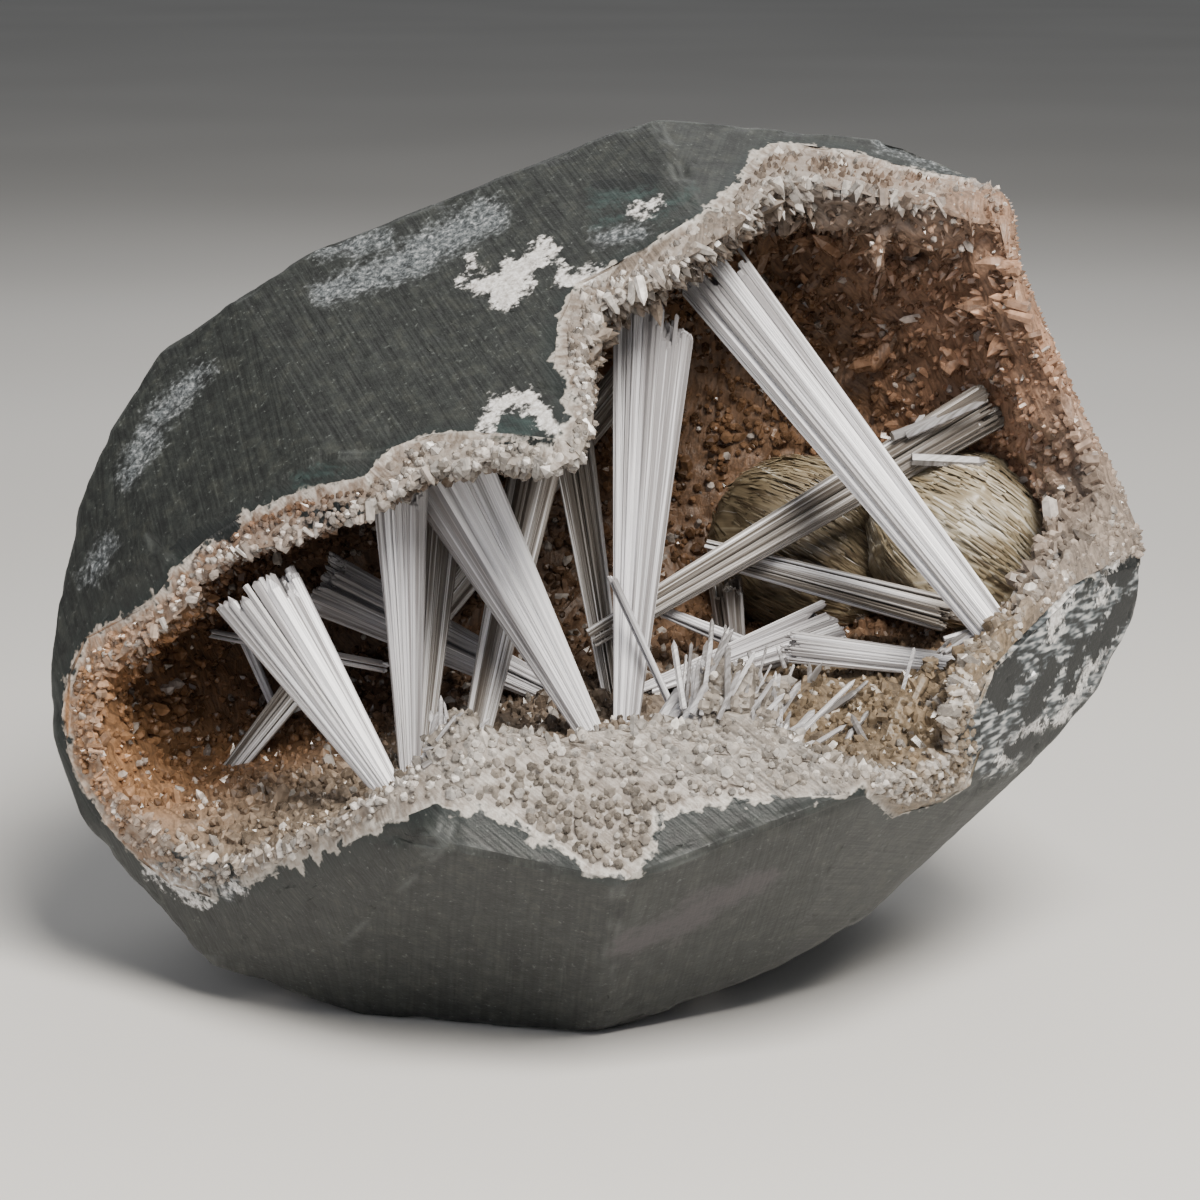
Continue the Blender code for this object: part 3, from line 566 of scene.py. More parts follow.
def sawn_basalt():
    """Fine dark basalt, cut with a diamond saw and left unpolished.

    Dull grey-green, darker and lighter by the grain, with parallel saw marks, patches of white,
    teal and near-black minerals that filled its small bubbles, and a near-black line of painted
    shadow under the lip.
    """
    made, tree, shader, mm = new_material("sawn basalt", Roughness=0.6, IOR=1.55)
    colour, chalk_mask, height = ground_surface(tree, mm)
    tree.links.new(colour, shader.inputs["Base Color"])
    rough = add(tree, "MapRange", {0: chalk_mask, 3: 0.58, 4: 0.85})
    tree.links.new(rough, shader.inputs["Roughness"])
    bump = add(tree, "Bump", {"Strength": 0.6, "Distance": 0.12 * MM, "Height": height})
    tree.links.new(bump, shader.inputs["Normal"])
    return made


def ground_druse():
    """The crust as it grew, and ground flat with the stone along its rim.

    Matt cut grains on the ground part, and between the crystals the glossier brown and grey
    mass that they stand on.
    """
    made, tree, shader, mm = new_material("ground druse", Roughness=0.5, IOR=1.52)
    colour, _, height = ground_surface(tree, mm)
    shade = add(tree, "MapRange", {0: height, 1: 0.7, 2: 1.3, 3: 0.45, 4: 1.1})
    grown = blend(tree, 1.0, add_tint(tree, "tint"), shade, "MULTIPLY")
    colour = blend(tree, add_field(tree, "ground"), grown, colour)
    tree.links.new(colour, shader.inputs["Base Color"])
    bump = add(tree, "Bump", {"Strength": 0.6, "Distance": 0.2 * MM, "Height": height})
    tree.links.new(bump, shader.inputs["Normal"])
    return made


def druse(name, through):
    """Small quartz-like crystals, grown and left as they grew.

    Glassy and partly see-through, tinted rusty, brown, grey and cream by place, each a little
    darker or paler than the next.
    """
    made, tree, shader, mm = new_material(name, Roughness=0.18, IOR=1.52,
                                          Transmission_Weight=through)
    shade = add(tree, "MapRange", {0: add_field(tree, "tone"), 3: 0.6, 4: 1.3})
    colour = blend(tree, 1.0, add_tint(tree, "tint"), shade, "MULTIPLY")
    # Veils of tiny bubbles 1 mm across inside the crystals make them cloudy in places.
    veils = add(tree, "TexNoise", {"Vector": mm, "Scale": 1.2, "Detail": 1.0})
    mottle = add(tree, "MapRange", {0: veils, 1: 0.3, 2: 0.7, 3: 0.7, 4: 1.2})
    colour = blend(tree, 1.0, colour, mottle, "MULTIPLY")
    tree.links.new(colour, shader.inputs["Base Color"])
    rough = add(tree, "MapRange", {0: veils, 1: 0.3, 2: 0.7, 3: 0.1, 4: 0.4})
    tree.links.new(rough, shader.inputs["Roughness"])
    return made


def scolecite(name, pale, grey, through):
    """Scolecite: bundles of thin colourless prisms, unworked.

    Silky white along the prisms; painted shade makes them greyer in the grooves and where less light
    gets in. Fine striations run along their length, and light that passes through gives a slight glow.
    """
    made, tree, shader, mm = new_material(name, Roughness=0.3, IOR=1.52,
                                          Transmission_Weight=through)
    # Striations are 0.05 to 0.2 mm apart, drawn at about 0.25 mm so that they show.
    fibre = tree.nodes.new("ShaderNodeUVMap").outputs[0]
    stretched = add(tree, "Mapping", {"Vector": fibre, "Scale": (4.0, 0.06, 1.0)})
    lines = add(tree, "TexNoise", {"Vector": stretched, "Scale": 1.0, "Detail": 1.0},
                noise_dimensions="2D")
    tone = add_field(tree, "tone")
    mixed = add(tree, "Math", {0: lines, 1: tone}, operation="ADD")
    colour = add(tree, "ValToRGB", {0: add(tree, "MapRange", {0: mixed, 1: 0.5, 2: 1.5})},
                 [(0.1, grey), (0.5, pale), (0.85, "#f4f3f5")])
    tree.links.new(colour, shader.inputs["Base Color"])
    bump = add(tree, "Bump", {"Strength": 0.4, "Distance": 0.08 * MM, "Height": lines})
    tree.links.new(bump, shader.inputs["Normal"])
    return made


def stilbite():
    """Stilbite: a fan of thin tan blades, unworked.

    Pearly and partly see-through, olive-beige, with dense striations along the blades and
    white scratch-like lines where single blades stand up.
    """
    made, tree, shader, mm = new_material("pearly stilbite", Roughness=0.35, IOR=1.5,
                                          Transmission_Weight=0.12)
    fibre = tree.nodes.new("ShaderNodeUVMap").outputs[0]
    stretched = add(tree, "Mapping", {"Vector": fibre, "Scale": (1.6, 0.06, 1.0)})
    lines = add(tree, "TexNoise", {"Vector": stretched, "Scale": 1.0, "Detail": 3.0, "Roughness": 0.6},
                noise_dimensions="2D")
    cloud = add(tree, "TexNoise", {"Vector": mm, "Scale": 1 / 7, "Detail": 3.0})
    both = add(tree, "Math", {0: lines, 1: cloud}, operation="ADD")
    mixed = add(tree, "Math", {0: both, 1: add_field(tree, "tone")}, operation="ADD")
    share = add(tree, "MapRange", {0: mixed, 1: 0.9, 2: 2.2})
    colour = add(tree, "ValToRGB", {0: share}, [(0.1, "#4e4233"), (0.4, "#80725a"),
                                                (0.62, "#a3977f"), (0.85, "#d3cec3")])
    fine = add(tree, "Mapping", {"Vector": fibre, "Scale": (5.0, 0.12, 1.0), "Rotation": (0, 0, 0.12)})
    scratch = add(tree, "TexNoise", {"Vector": fine, "Scale": 1.0, "Detail": 2.0})
    streak = add(tree, "MapRange", {0: scratch, 1: 0.66, 2: 0.74})
    colour = blend(tree, streak, colour, "#ebe7de")
    tree.links.new(colour, shader.inputs["Base Color"])
    bump = add(tree, "Bump", {"Strength": 0.6, "Distance": 0.15 * MM, "Height": lines})
    tree.links.new(bump, shader.inputs["Normal"])
    return made


def pale_paper():
    """Matt paper of a studio sweep: even and pale, with a very faint cloud so that it isn't flat."""
    made, tree, shader, mm = new_material("studio paper", Roughness=0.9)
    cloud = add(tree, "TexNoise", {"Vector": mm, "Scale": 1 / 160, "Detail": 0.0})
    colour = add(tree, "ValToRGB", {0: cloud}, [(0.2, "#cfcdca"), (0.8, "#d6d4d1")])
    tree.links.new(colour, shader.inputs["Base Color"])
    return made


# The stone and its crust

def facing_out(points, faces):
    """Triangles that look away from the hollow's middle."""
    middles = points[faces].mean(axis=1)
    return ((middles - HOLLOW_MIDDLE) * face_ways(points, faces)).sum(axis=1) > 0


def ground_planes(points, faces):
    """Planes of the outward triangles, as direction and distance, and those with all points behind."""
    ways = unit(face_ways(points, faces))
    offset = (ways * points[faces[:, 0]]).sum(axis=1)
    planes = np.unique(np.round(np.column_stack([ways, offset])[facing_out(points, faces)], 2), axis=0)
    behind = (points @ planes[:, :3].T < planes[:, 3] + 0.3).all(axis=0)
    return planes, planes[behind]


def rim_of(points, faces):
    """Edges of the stone's opening: where triangles that look out meet those that look in."""
    outer = facing_out(points, faces)
    ends, pairs = edges_of(faces)
    return points[ends[outer[pairs[:, 0]] != outer[pairs[:, 1]]]]


def on_planes(points, faces, planes):
    """Triangles that lie in one of the planes."""
    ways = unit(face_ways(points, faces))
    middles = points[faces].mean(axis=1)
    level = ways @ planes[:, :3].T > 0.995
    near = np.abs(middles @ planes[:, :3].T - planes[:, 3]) < 0.12
    return (level & near).any(axis=1)


def ground_relief(points):
    """Unevenness of the ground facets, the same on basalt and crust: two noises, 6 mm and 2 mm."""
    return 0.07 * grain(points, 6.0, 1) + 0.035 * grain(points, 2.0, 2)


def grain_cells(points):
    """Mottle of the crust's cut grains, 0 to 1: lumps 1.5 mm wide in clouds 5 mm wide."""
    return 0.22 + 0.42 * domes(points, 1.5, 15) + 0.14 * grain(points, 5.0, 16)


def mark_fields(points, ways):
    """Fields of all marks at points of the ground surfaces; the front's marks stay on the front.

    Behind, where the front view doesn't reach, chalk, teal and dark marks come from noises.
    """
    right, above = in_view(points)
    eye = VIEW_MIDDLE - VIEW_DISTANCE * BEYOND
    front = eased(((unit(eye - points) * ways).sum(axis=1)) / 0.12)
    fields = {}
    for number, (title, strokes) in enumerate(MARKS.items()):
        drawn = stroke_field(right, above, strokes)
        wild = 8.0 * (grain(points, 13.0, 40 + number) - 0.66) + grain(points, 4.0, 50 + number)
        wild = np.clip(wild, -MARK_REACH, MARK_REACH)
        fields[title] = front * drawn + (1 - front) * wild
    return fields


def saw_map(points, faces):
    """For each corner, its place across the saw marks and along them, in millimetres.

    On each facet the marks run at right angles to the blade, turned by that facet's own angle.
    """
    ways = unit(face_ways(points, faces))
    along = unit(np.cross(ways, BLADE))
    across = np.cross(ways, along)
    rounded = np.round(ways * 6)
    swing = np.sin(rounded @ np.array([12.9, 78.2, 37.7])) * BLADE_SWING
    cos, sin = np.cos(swing)[:, None], np.sin(swing)[:, None]
    across, along = cos * across + sin * along, cos * along - sin * across
    corners = points[faces]
    return np.stack([(corners * across[:, None]).sum(-1), (corners * along[:, None]).sum(-1)], -1)


def dress_basalt(material):
    """The basalt as one closed surface: fine triangles outside, uneven, chipped and pitted."""
    points, faces = solid_of("basalt_shell")
    outer = facing_out(points, faces)
    ends, pairs = edges_of(faces)
    ways = unit(face_ways(points, faces))
    turn = (ways[pairs[:, 0]] * ways[pairs[:, 1]]).sum(axis=1)
    worn = outer[pairs].all(axis=1) & (turn < math.cos(math.radians(9)))
    worn_lines = points[ends[worn]]
    rim_lines = rim_of(points, faces)
    points, faces, parents = refined(points, faces, np.where(outer, FACET_GRID, 6.0))
    outer = outer[parents]
    middles = points[faces].mean(axis=1)
    fields = mark_fields(middles, unit(face_ways(points, faces)))
    marked = np.max([fields[title] for title in ("chalk", "white", "fibre", "dark")], axis=0) > -0.6
    edge_gap = gap_to_lines(middles, worn_lines[:, 0], worn_lines[:, 1])[0]
    fine = outer & (marked | (edge_gap < 0.9))
    points, faces, parents = refined(points, faces, np.where(fine, MARK_GRID, 99.0))
    outer = outer[parents]
    saws = saw_map(points, faces)
    ways = point_ways(points, faces, outer)
    edge_gap = gap_to_lines(points, worn_lines[:, 0], worn_lines[:, 1])[0]
    rim_gap, along = gap_to_lines(points, rim_lines[:, 0], rim_lines[:, 1])
    comb = np.stack([along, rim_gap], axis=-1)[faces]
    fields = mark_fields(points, ways)
    chips = eased(1 - edge_gap / WORN_EDGE) * np.clip(grain(points, 2.6, 5) + 0.1, 0, 1) * CHIP_DEPTH
    chips *= eased(rim_gap / 1.5)
    pits = np.clip(domes(points, 1.7, 6) - 0.5, 0, 1) * eased(0.5 + fields["chalk"]) * 0.9
    pits += np.clip(grain(points, 1.3, 7) - 0.72, 0, 1) * 1.1
    height = ground_relief(points) - chips - pits * eased(rim_gap / 1.0)
    fields["rim_side"] = -rim_gap
    fields["tint"] = crust_tint(points)
    fields["cells"] = grain_cells(points)
    fields["worn"] = eased(1 - edge_gap / 0.8) * eased(0.5 + grain(points, 3.0, 8))
    moved = points + height[:, None] * ways
    moved[:, 2] = np.maximum(moved[:, 2], 0)
    stone = make_piece("basalt", moved, faces, material,
                       fields, {"sawn": saws, "comb": comb}, sharp=32)
    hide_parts("basalt_shell")
    return stone


def crust_tint(points):
    """Colour by place: each named colour weighs as a bell round its place, and all are averaged."""
    total = np.zeros((len(points), 3))
    weight = np.zeros(len(points))
    for place, reach, colour in CRUST_COLOURS:
        gap = np.linalg.norm(points - seen(place), axis=1)
        share = np.exp(-(gap / reach) ** 2) + 1e-6
        total += share[:, None] * linear(colour)
        weight += share
    return total / weight[:, None]


def dress_crust(base_material, crystal_materials):
    """The crust: its wall, lumpy and ground flat at the rim, and thousands of crystals on it."""
    points, faces = solid_of("druse_crust")
    shell = solid_of("basalt_shell")
    planes, hull = ground_planes(*shell)
    rim_lines = rim_of(*shell)
    ground = on_planes(points, faces, planes) & facing_out(points, faces)
    ways = unit(face_ways(points, faces))
    hidden = ~ground & facing_out(points, faces) & (way_out(points[faces].mean(axis=1), ways, shell) < 1.2)
    inner = ~hidden & ~ground
    ends, pairs = edges_of(faces)
    lip = (ground[pairs[:, 0]] & inner[pairs[:, 1]]) | (inner[pairs[:, 0]] & ground[pairs[:, 1]])
    lip_lines = points[ends[lip]]
    stubby = (ground | facing_out(points, faces))[inner | ground]
    walls = (points, faces[inner | ground], stubby)
    limits = np.where(inner, CRUST_GRID, np.where(ground, GROUND_GRID, 8.0))
    points, faces, parents = refined(points, faces, limits)
    ground, inner = ground[parents], inner[parents]
    ground_ways = point_ways(points, faces, ground)
    inner_ways = point_ways(points, faces, inner)
    on_ground = (np.abs(ground_ways).sum(axis=1) > 0).astype(float)
    rim_gap, along = gap_to_lines(points, rim_lines[:, 0], rim_lines[:, 1])
    lip_gap = gap_to_lines(points, lip_lines[:, 0], lip_lines[:, 1])[0]
    bumps = 0.9 * (domes(points, 3.2, 11) - 0.6) + 0.3 * grain(points, 1.4, 12)
    bumps *= eased(lip_gap / 2.0)
    out_ways = point_ways(points, faces, ~ground & ~inner)
    height = ground_relief(points) - 0.5 * (1 - domes(points, 1.5, 15)) * eased(rim_gap / 1.2)
    moved = points + (on_ground * height)[:, None] * ground_ways
    moved += ((1 - on_ground) * bumps)[:, None] * inner_ways
    moved += FITTING_GAP * out_ways
    fields = mark_fields(points, ground_ways)
    fields["ground"] = np.maximum(on_ground, np.abs(out_ways).sum(axis=1) > 0)
    fields["rim_side"] = rim_gap
    fields["worn"] = np.zeros(len(points))
    fields["cells"] = grain_cells(points)
    fields["tint"] = crust_tint(points)
    maps = {"sawn": saw_map(points, faces), "comb": np.stack([along, rim_gap], axis=-1)[faces]}
    wall = make_piece("druse", moved, faces, base_material, fields, maps, sharp=50)
    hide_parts("druse_crust")
    grow_crystals(walls, hull, rim_lines, lip_lines, crystal_materials)


def frames_along(ways, rng):
    """Two directions at right angles to each way and to each other, turned at random."""
    across = unit(np.cross(ways, rng.normal(size=ways.shape)))
    return across, np.cross(ways, across)


def prisms(roots, tips, root_half, tip_half, point, across, through, lean, steps=1):
    """Closed six-sided prisms with a pointed tip, as whole arrays.

    Each is rings of corners at equal steps from its root to its shoulder, the tip less the
    point's length, and the tip itself, moved sideways by the lean. Returns points and triangles.
    """
    sides = CRYSTAL_SIDES
    count = len(roots)
    ways = unit(tips - roots)
    turn = np.linspace(0, 2 * math.pi, sides, endpoint=False)
    round_ = np.cos(turn)[:, None] * across[:, None] + np.sin(turn)[:, None] * through[:, None]
    shoulder = tips - point[:, None] * ways
    share = np.linspace(0, 1, steps + 1)[:, None]
    middles = roots[:, None] + share * (shoulder - roots)[:, None]
    half = root_half[:, None] + share[:, 0] * (tip_half - root_half)[:, None]
    rings = middles[:, :, None] + half[..., None, None] * round_[:, None]
    points = np.concatenate([rings.reshape(count, -1, 3), (tips + lean)[:, None]], axis=1)
    k = np.arange(sides)
    after = (k + 1) % sides
    low = sides * np.arange(steps)[:, None]
    top = sides * steps
    template = np.concatenate([
        np.stack([low + k, low + after, low + sides + after], -1).reshape(-1, 3),
        np.stack([low + k, low + sides + after, low + sides + k], -1).reshape(-1, 3),
        np.stack([top + k, top + after, np.full(sides, top + sides)], -1),
        np.stack([np.zeros(sides - 2, int), k[2:], k[1:-1]], -1)])
    faces = template[None] + (top + sides + 1) * np.arange(count)[:, None, None]
    return points.reshape(-1, 3), faces.reshape(-1, 3)


def grow_crystals(walls, planes, rim_lines, lip_lines, materials):
    """Blunt six-sided crystals all over the crust, in three pieces: left, right and roof.

    Roots are spread evenly over the wall's area. Each crystal stands on it, leaning at random
    and with its neighbours on the same lump, and is shortened so that it stands no more than
    a little proud of the planes that the stone is ground to.
    """
    points, faces, stubby = walls
    rng = np.random.default_rng([SEED, 1])
    ways = face_ways(points, faces)
    area = np.linalg.norm(ways, axis=1) * np.where(stubby, 2.0, 1.0)
    chosen = rng.choice(len(faces), CRYSTAL_COUNT, p=area / area.sum())
    share = rng.uniform(size=(CRYSTAL_COUNT, 2))
    share = np.where(share.sum(axis=1, keepdims=True) > 1, 1 - share, share)
    a, b, c = (points[faces[chosen, k]] for k in range(3))
    roots = a + share[:, :1] * (b - a) + share[:, 1:] * (c - a)
    normal = unit(ways[chosen])
    lumps = np.stack([grain(roots, 3.0, 20 + k) for k in range(3)], axis=-1)
    lean = unit(normal + 0.7 * lumps + 0.45 * rng.normal(size=roots.shape))
    lean = np.where((lean * normal).sum(axis=1, keepdims=True) > 0.35, lean, normal)
    size = np.exp(rng.normal(0, 0.3, CRYSTAL_COUNT)) * (0.85 + 0.35 * grain(roots, 6.0, 24))
    width = np.clip(1.05 * size, 0.55, 2.2)
    height = width * rng.uniform(0.5, 1.15, CRYSTAL_COUNT)
    roof = eased((seen_above(roots) - 26) / 8)
    height *= 1 + 0.7 * roof
    flat = stubby[chosen]
    lean = np.where(flat[:, None], unit(normal + 0.4 * lean), lean)
    width = np.where(flat, np.clip(1.2 * width, 0.7, 1.7), width)
    roots = roots + np.where(flat, 0.0, domes(roots, 3.2, 11) - 0.9)[:, None] * normal
    slope = lean @ planes[:, :3].T
    proud = STUB_HEIGHT * rng.uniform(0.2, 1.0, CRYSTAL_COUNT)
    room = planes[:, 3] + proud[:, None] - roots @ planes[:, :3].T
    room = np.where(slope > 0.1, room / np.maximum(slope, 0.1), 99).min(axis=1)
    room = np.where(flat, proud, room)
    tips = roots + np.minimum(0.35 + height, room)[:, None] * lean
    kept = (room > 0) & (~flat | (gap_to_lines(roots, rim_lines[:, 0], rim_lines[:, 1])[0] > 1.3))
    roots, tips, lean, width, roof = (v[kept] for v in (roots, tips, lean, width, roof))
    roots = roots - 0.9 * lean
    count = len(roots)
    across, through = frames_along(lean, rng)
    shift = rng.uniform(-0.18, 0.18, (count, 2)) * width[:, None]
    sideways = shift[:, :1] * across + shift[:, 1:] * through
    tip_half = width / 2 * rng.uniform(0.75, 1.0, count)
    point = width * rng.uniform(0.25, 0.6, count) * (1 + 0.8 * roof)
    made, triangles = prisms(roots, tips, width / 2, tip_half, point, across, through, sideways)
    each = 2 * CRYSTAL_SIDES + 1
    tone = rng.uniform(size=count)
    tint = crust_tint(roots)
    lip = eased(1 - gap_to_lines(roots, lip_lines[:, 0], lip_lines[:, 1])[0] / 3.5)
    lip *= eased((68 - np.abs(roots[:, 0] - 2)) / 24)
    milky = (lip * rng.uniform(0.1, 1.0, count) + 0.6 * (rng.uniform(size=count) > 0.93))[:, None]
    tint += np.clip(milky, 0, 0.85) * (linear("#cfcac4") - tint)
    glassy = rng.uniform(size=count)
    side = np.where(seen_above(roots) > 20, 2, np.where(roots[:, 0] > 5, 1, 0))
    triangles = triangles.reshape(count, -1, 3)
    for number, title in enumerate(("left", "right", "roof")):
        for glass, material in enumerate(materials):
            picked = (side == number) & ((glassy > 0.7) == bool(glass))
            part = np.unique(triangles[picked], return_inverse=True)
            numbers, new_faces = part[0], part[1].reshape(-1, 3)
            fields = {"tone": np.repeat(tone, each)[numbers],
                      "tint": np.repeat(tint, each, axis=0)[numbers]}
            name = f"druse_crystals_{title}_{('pale', 'clear')[glass]}"
            piece = make_piece(name, made[numbers], new_faces, material, fields, sharp=0)
            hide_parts("druse_crust")


def seen_above(points):
    """How high above the view's middle each point stands."""
    return in_view(points)[1]


# The sprays

def bar_form(points, faces):
    """A bar's axis and its section: middle and half sizes as straight lines along the axis.

    The axis is the main direction of the area's spread. At five stations the triangles' edges
    that cross the station give the section's extent, and straight lines are fitted to these.
    """
    ways = face_ways(points, faces)
    area = np.linalg.norm(ways, axis=1)
    middles = points[faces].mean(axis=1)
    centre = (middles * area[:, None]).sum(axis=0) / area.sum()
    spread = (middles - centre) * np.sqrt(area)[:, None]
    axis = np.linalg.svd(spread, full_matrices=False)[2][0]
    across = unit(np.cross(axis, BEYOND))
    through = np.cross(axis, across)
    along = (points - centre) @ axis
    ends = edges_of(faces)[0]
    low, high = along.min(), along.max()
    sections = []
    stations = low + (high - low) * np.array(SPRAY_STATIONS)
    for station in stations:
        a, b = points[ends[:, 0]], points[ends[:, 1]]
        ta, tb = along[ends[:, 0]] - station, along[ends[:, 1]] - station
        cross = ta * tb < 0
        share = (ta / np.where(cross, ta - tb, 1))[cross]
        place = a[cross] + share[:, None] * (b - a)[cross] - centre
        place = np.stack([place @ across, place @ through], axis=-1)
        sections.append(np.concatenate([(place.max(0) + place.min(0)) / 2,
                                        (place.max(0) - place.min(0)) / 2]))
    fit = np.polyfit(stations, np.array(sections), 1)
    if fit[0, 2] < 0:
        axis, across, low, high = -axis, -across, -high, -low
        fit = fit * np.array([[-1], [1]]) * np.array([-1, 1, 1, 1])
    return centre, axis, across, through, low, high, fit


def bundle(node, number, count, ribs, reach=0.6, step=0.9):
    """A wedge of thin prisms: points, triangles, a tone for each point with painted shade in it, and a fibre
    map.

    The prisms stand in the bar's section on a ribbed ring and inside it, and run straight from
    their place in its thin end to the same place in its wide end. They end where the bar does,
    and those of one rib end a step shorter or longer than those of the next.
    """
    solid = solid_of(node)
    centre, axis, across, through, low, high, fit = bar_form(*solid)
    rng = np.random.default_rng([SEED, 100 + number])
    turn = np.sort(rng.uniform(0, 2 * math.pi, count))
    rib = np.floor(turn / (2 * math.pi) * ribs).astype(int)
    inside = rng.uniform(size=count) < 0.25
    ring = 0.87 + 0.13 * np.abs(np.sin(turn * ribs / 2))
    ring = np.where(inside, ring * rng.uniform(0.1, 0.85, count), ring * rng.uniform(0.86, 1.0, count))
    u, v = ring * np.cos(turn), ring * np.sin(turn)

    def at(t, u, v):
        mid_a, mid_t, half_a, half_t = (fit[0][:, None] * t + fit[1][:, None])
        side = (mid_a + u * half_a)[:, None] * across + (mid_t + v * half_t)[:, None] * through
        return centre + np.asarray(t)[..., None] * axis + side

    middle_t = np.full(count, (low + high) / 2)
    swing = rng.normal(0, 0.03, (2, count))
    middles = at(middle_t, u, v)
    ways = unit(at(np.full(count, high), u + swing[0], v + swing[1]) - middles)
    cap = unit(face_ways(*solid)) @ axis > 0.4
    forward = np.minimum(way_out(middles, ways, (solid[0], solid[1][cap])), (high - low) * 0.5)
    back_ways = unit(at(np.full(count, low), u, v) - middles)
    back = np.minimum(way_out(middles, back_ways, solid), (high - low) * 0.62)
    rib_step = rng.uniform(-step, reach, ribs)[rib]
    ends = middles + (forward + rib_step + rng.uniform(-0.25, 0.25, count) * step)[:, None] * ways
    roots = middles + (back + reach)[:, None] * back_ways
    half_low, half_high = (fit[0, 2:] * t + fit[1, 2:] for t in (low, high))
    size_low, size_high = (0.7 * math.sqrt(math.pi * np.prod(np.maximum(h, 0.25)) / count)
                           for h in (half_low, half_high))
    own = np.exp(rng.normal(0, 0.28, count))
    lines = unit(ends - roots)
    side_a, side_b = frames_along(lines, rng)
    made, triangles = prisms(roots, ends, size_low * own, size_high * own,
                             size_high * own * rng.uniform(0.2, 2.4, count), side_a, side_b,
                             0.2 * size_high * side_a, SPRAY_STEPS)
    length = np.linalg.norm(ends - roots, axis=1)
    girth = 2 * math.pi * size_high * own
    base = rng.uniform(0, 90, count)
    round_ = np.append(np.tile(np.arange(6), SPRAY_STEPS + 1), 2.5) / 6
    u_map = base[:, None] + girth[:, None] * round_
    v_map = length[:, None] * np.append(np.repeat(np.linspace(0, 1, SPRAY_STEPS + 1), 6), 1)
    fibre = np.stack([u_map.ravel(), v_map.ravel()], axis=-1)[triangles]
    rib_chance = rng.uniform(-0.32, 0.2, ribs)[rib]
    # Painted shade: prisms inside the bundle are 0.3 darker; ribs and prisms also differ at random.
    tone = np.clip(0.55 + rib_chance + rng.normal(0, 0.2, count) - 0.3 * (ring < 0.8), 0, 1)
    # Greyer toward the wide end, where less light gets in.
    dimmer = 0.45 * (v_map / length[:, None]) ** 3
    return made, triangles, np.clip(tone[:, None] - dimmer, 0, 1).ravel(), fibre


def dress_sprays(white, dim):
    """Every spray and needle as a bundle, in place of its CAD bar."""
    for number, node in enumerate(SPRAYS + NEEDLES):
        loose = node in NEEDLES
        solid = solid_of(node)
        wide = float(np.ptp(solid[0], axis=0).max())
        count, ribs = (7, 3) if loose else (int(80 + 2.0 * wide), int(5 + wide / 9))
        made, triangles, tone, fibre = bundle(node, number, count, ribs, *((0.5, 0.8) if loose else ()))
        material = dim if node[-2:] in DIM_SPRAYS and not loose else white
        piece = make_piece(node.replace("scolecite", "bundle"), made, triangles, material,
                           {"tone": tone}, {"fibre": fibre}, sharp=0)
        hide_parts(node)


def dress_splinters(material):
    """Groups of thin blades on the lip and the floor, each running beside a line between two ends."""
    rng = np.random.default_rng([SEED, 3])
    rows = np.repeat(np.arange(len(SPLINTERS)), [row[3] for row in SPLINTERS])
    start = seen([row[0] for row in SPLINTERS])[rows]
    end = seen([row[1] for row in SPLINTERS])[rows]
    wide = np.array([row[2] for row in SPLINTERS])[rows]
    half = wide / np.sqrt(np.array([row[3] for row in SPLINTERS])[rows]) * 0.42
    beside = rng.uniform(-0.5, 0.5, (len(rows), 3)) * wide[:, None] * 1.3
    roots = start + 0.8 * beside
    spread = rng.normal(0, 0.22, (len(rows), 3)) * np.linalg.norm(end - start, axis=1, keepdims=True)
    tips = roots + (end - start + 0.7 * beside + spread) * rng.uniform(0.3, 1.0, (len(rows), 1))
    across, through = frames_along(unit(tips - roots), rng)
    half = half * np.exp(rng.normal(0, 0.3, len(rows)))
    made, faces = prisms(roots, tips, half, half * 0.9, half * rng.uniform(0.5, 2.5, len(rows)),
                         across, through, 0.2 * half[:, None] * across)
    tone = np.repeat(rng.uniform(0.1, 0.8, len(rows)), 13)
    fibre = np.stack([made @ across[0], made @ unit(tips - roots)[0]], axis=-1)[faces]
    piece = make_piece("splinters", made, faces, material, {"tone": tone},
                       {"fibre": fibre}, sharp=0)
    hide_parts("druse_crust")


def lobe_reach(middle, ways, shares, solid):
    """How far a lobe reaches each way: an egg, or the CAD lobe and a little more where that is less."""
    egg = 1 / np.sqrt(sum(share ** 2 for share in shares))
    return np.minimum(egg, way_out(np.tile(middle, (len(ways), 1)), ways, solid) + 0.45)


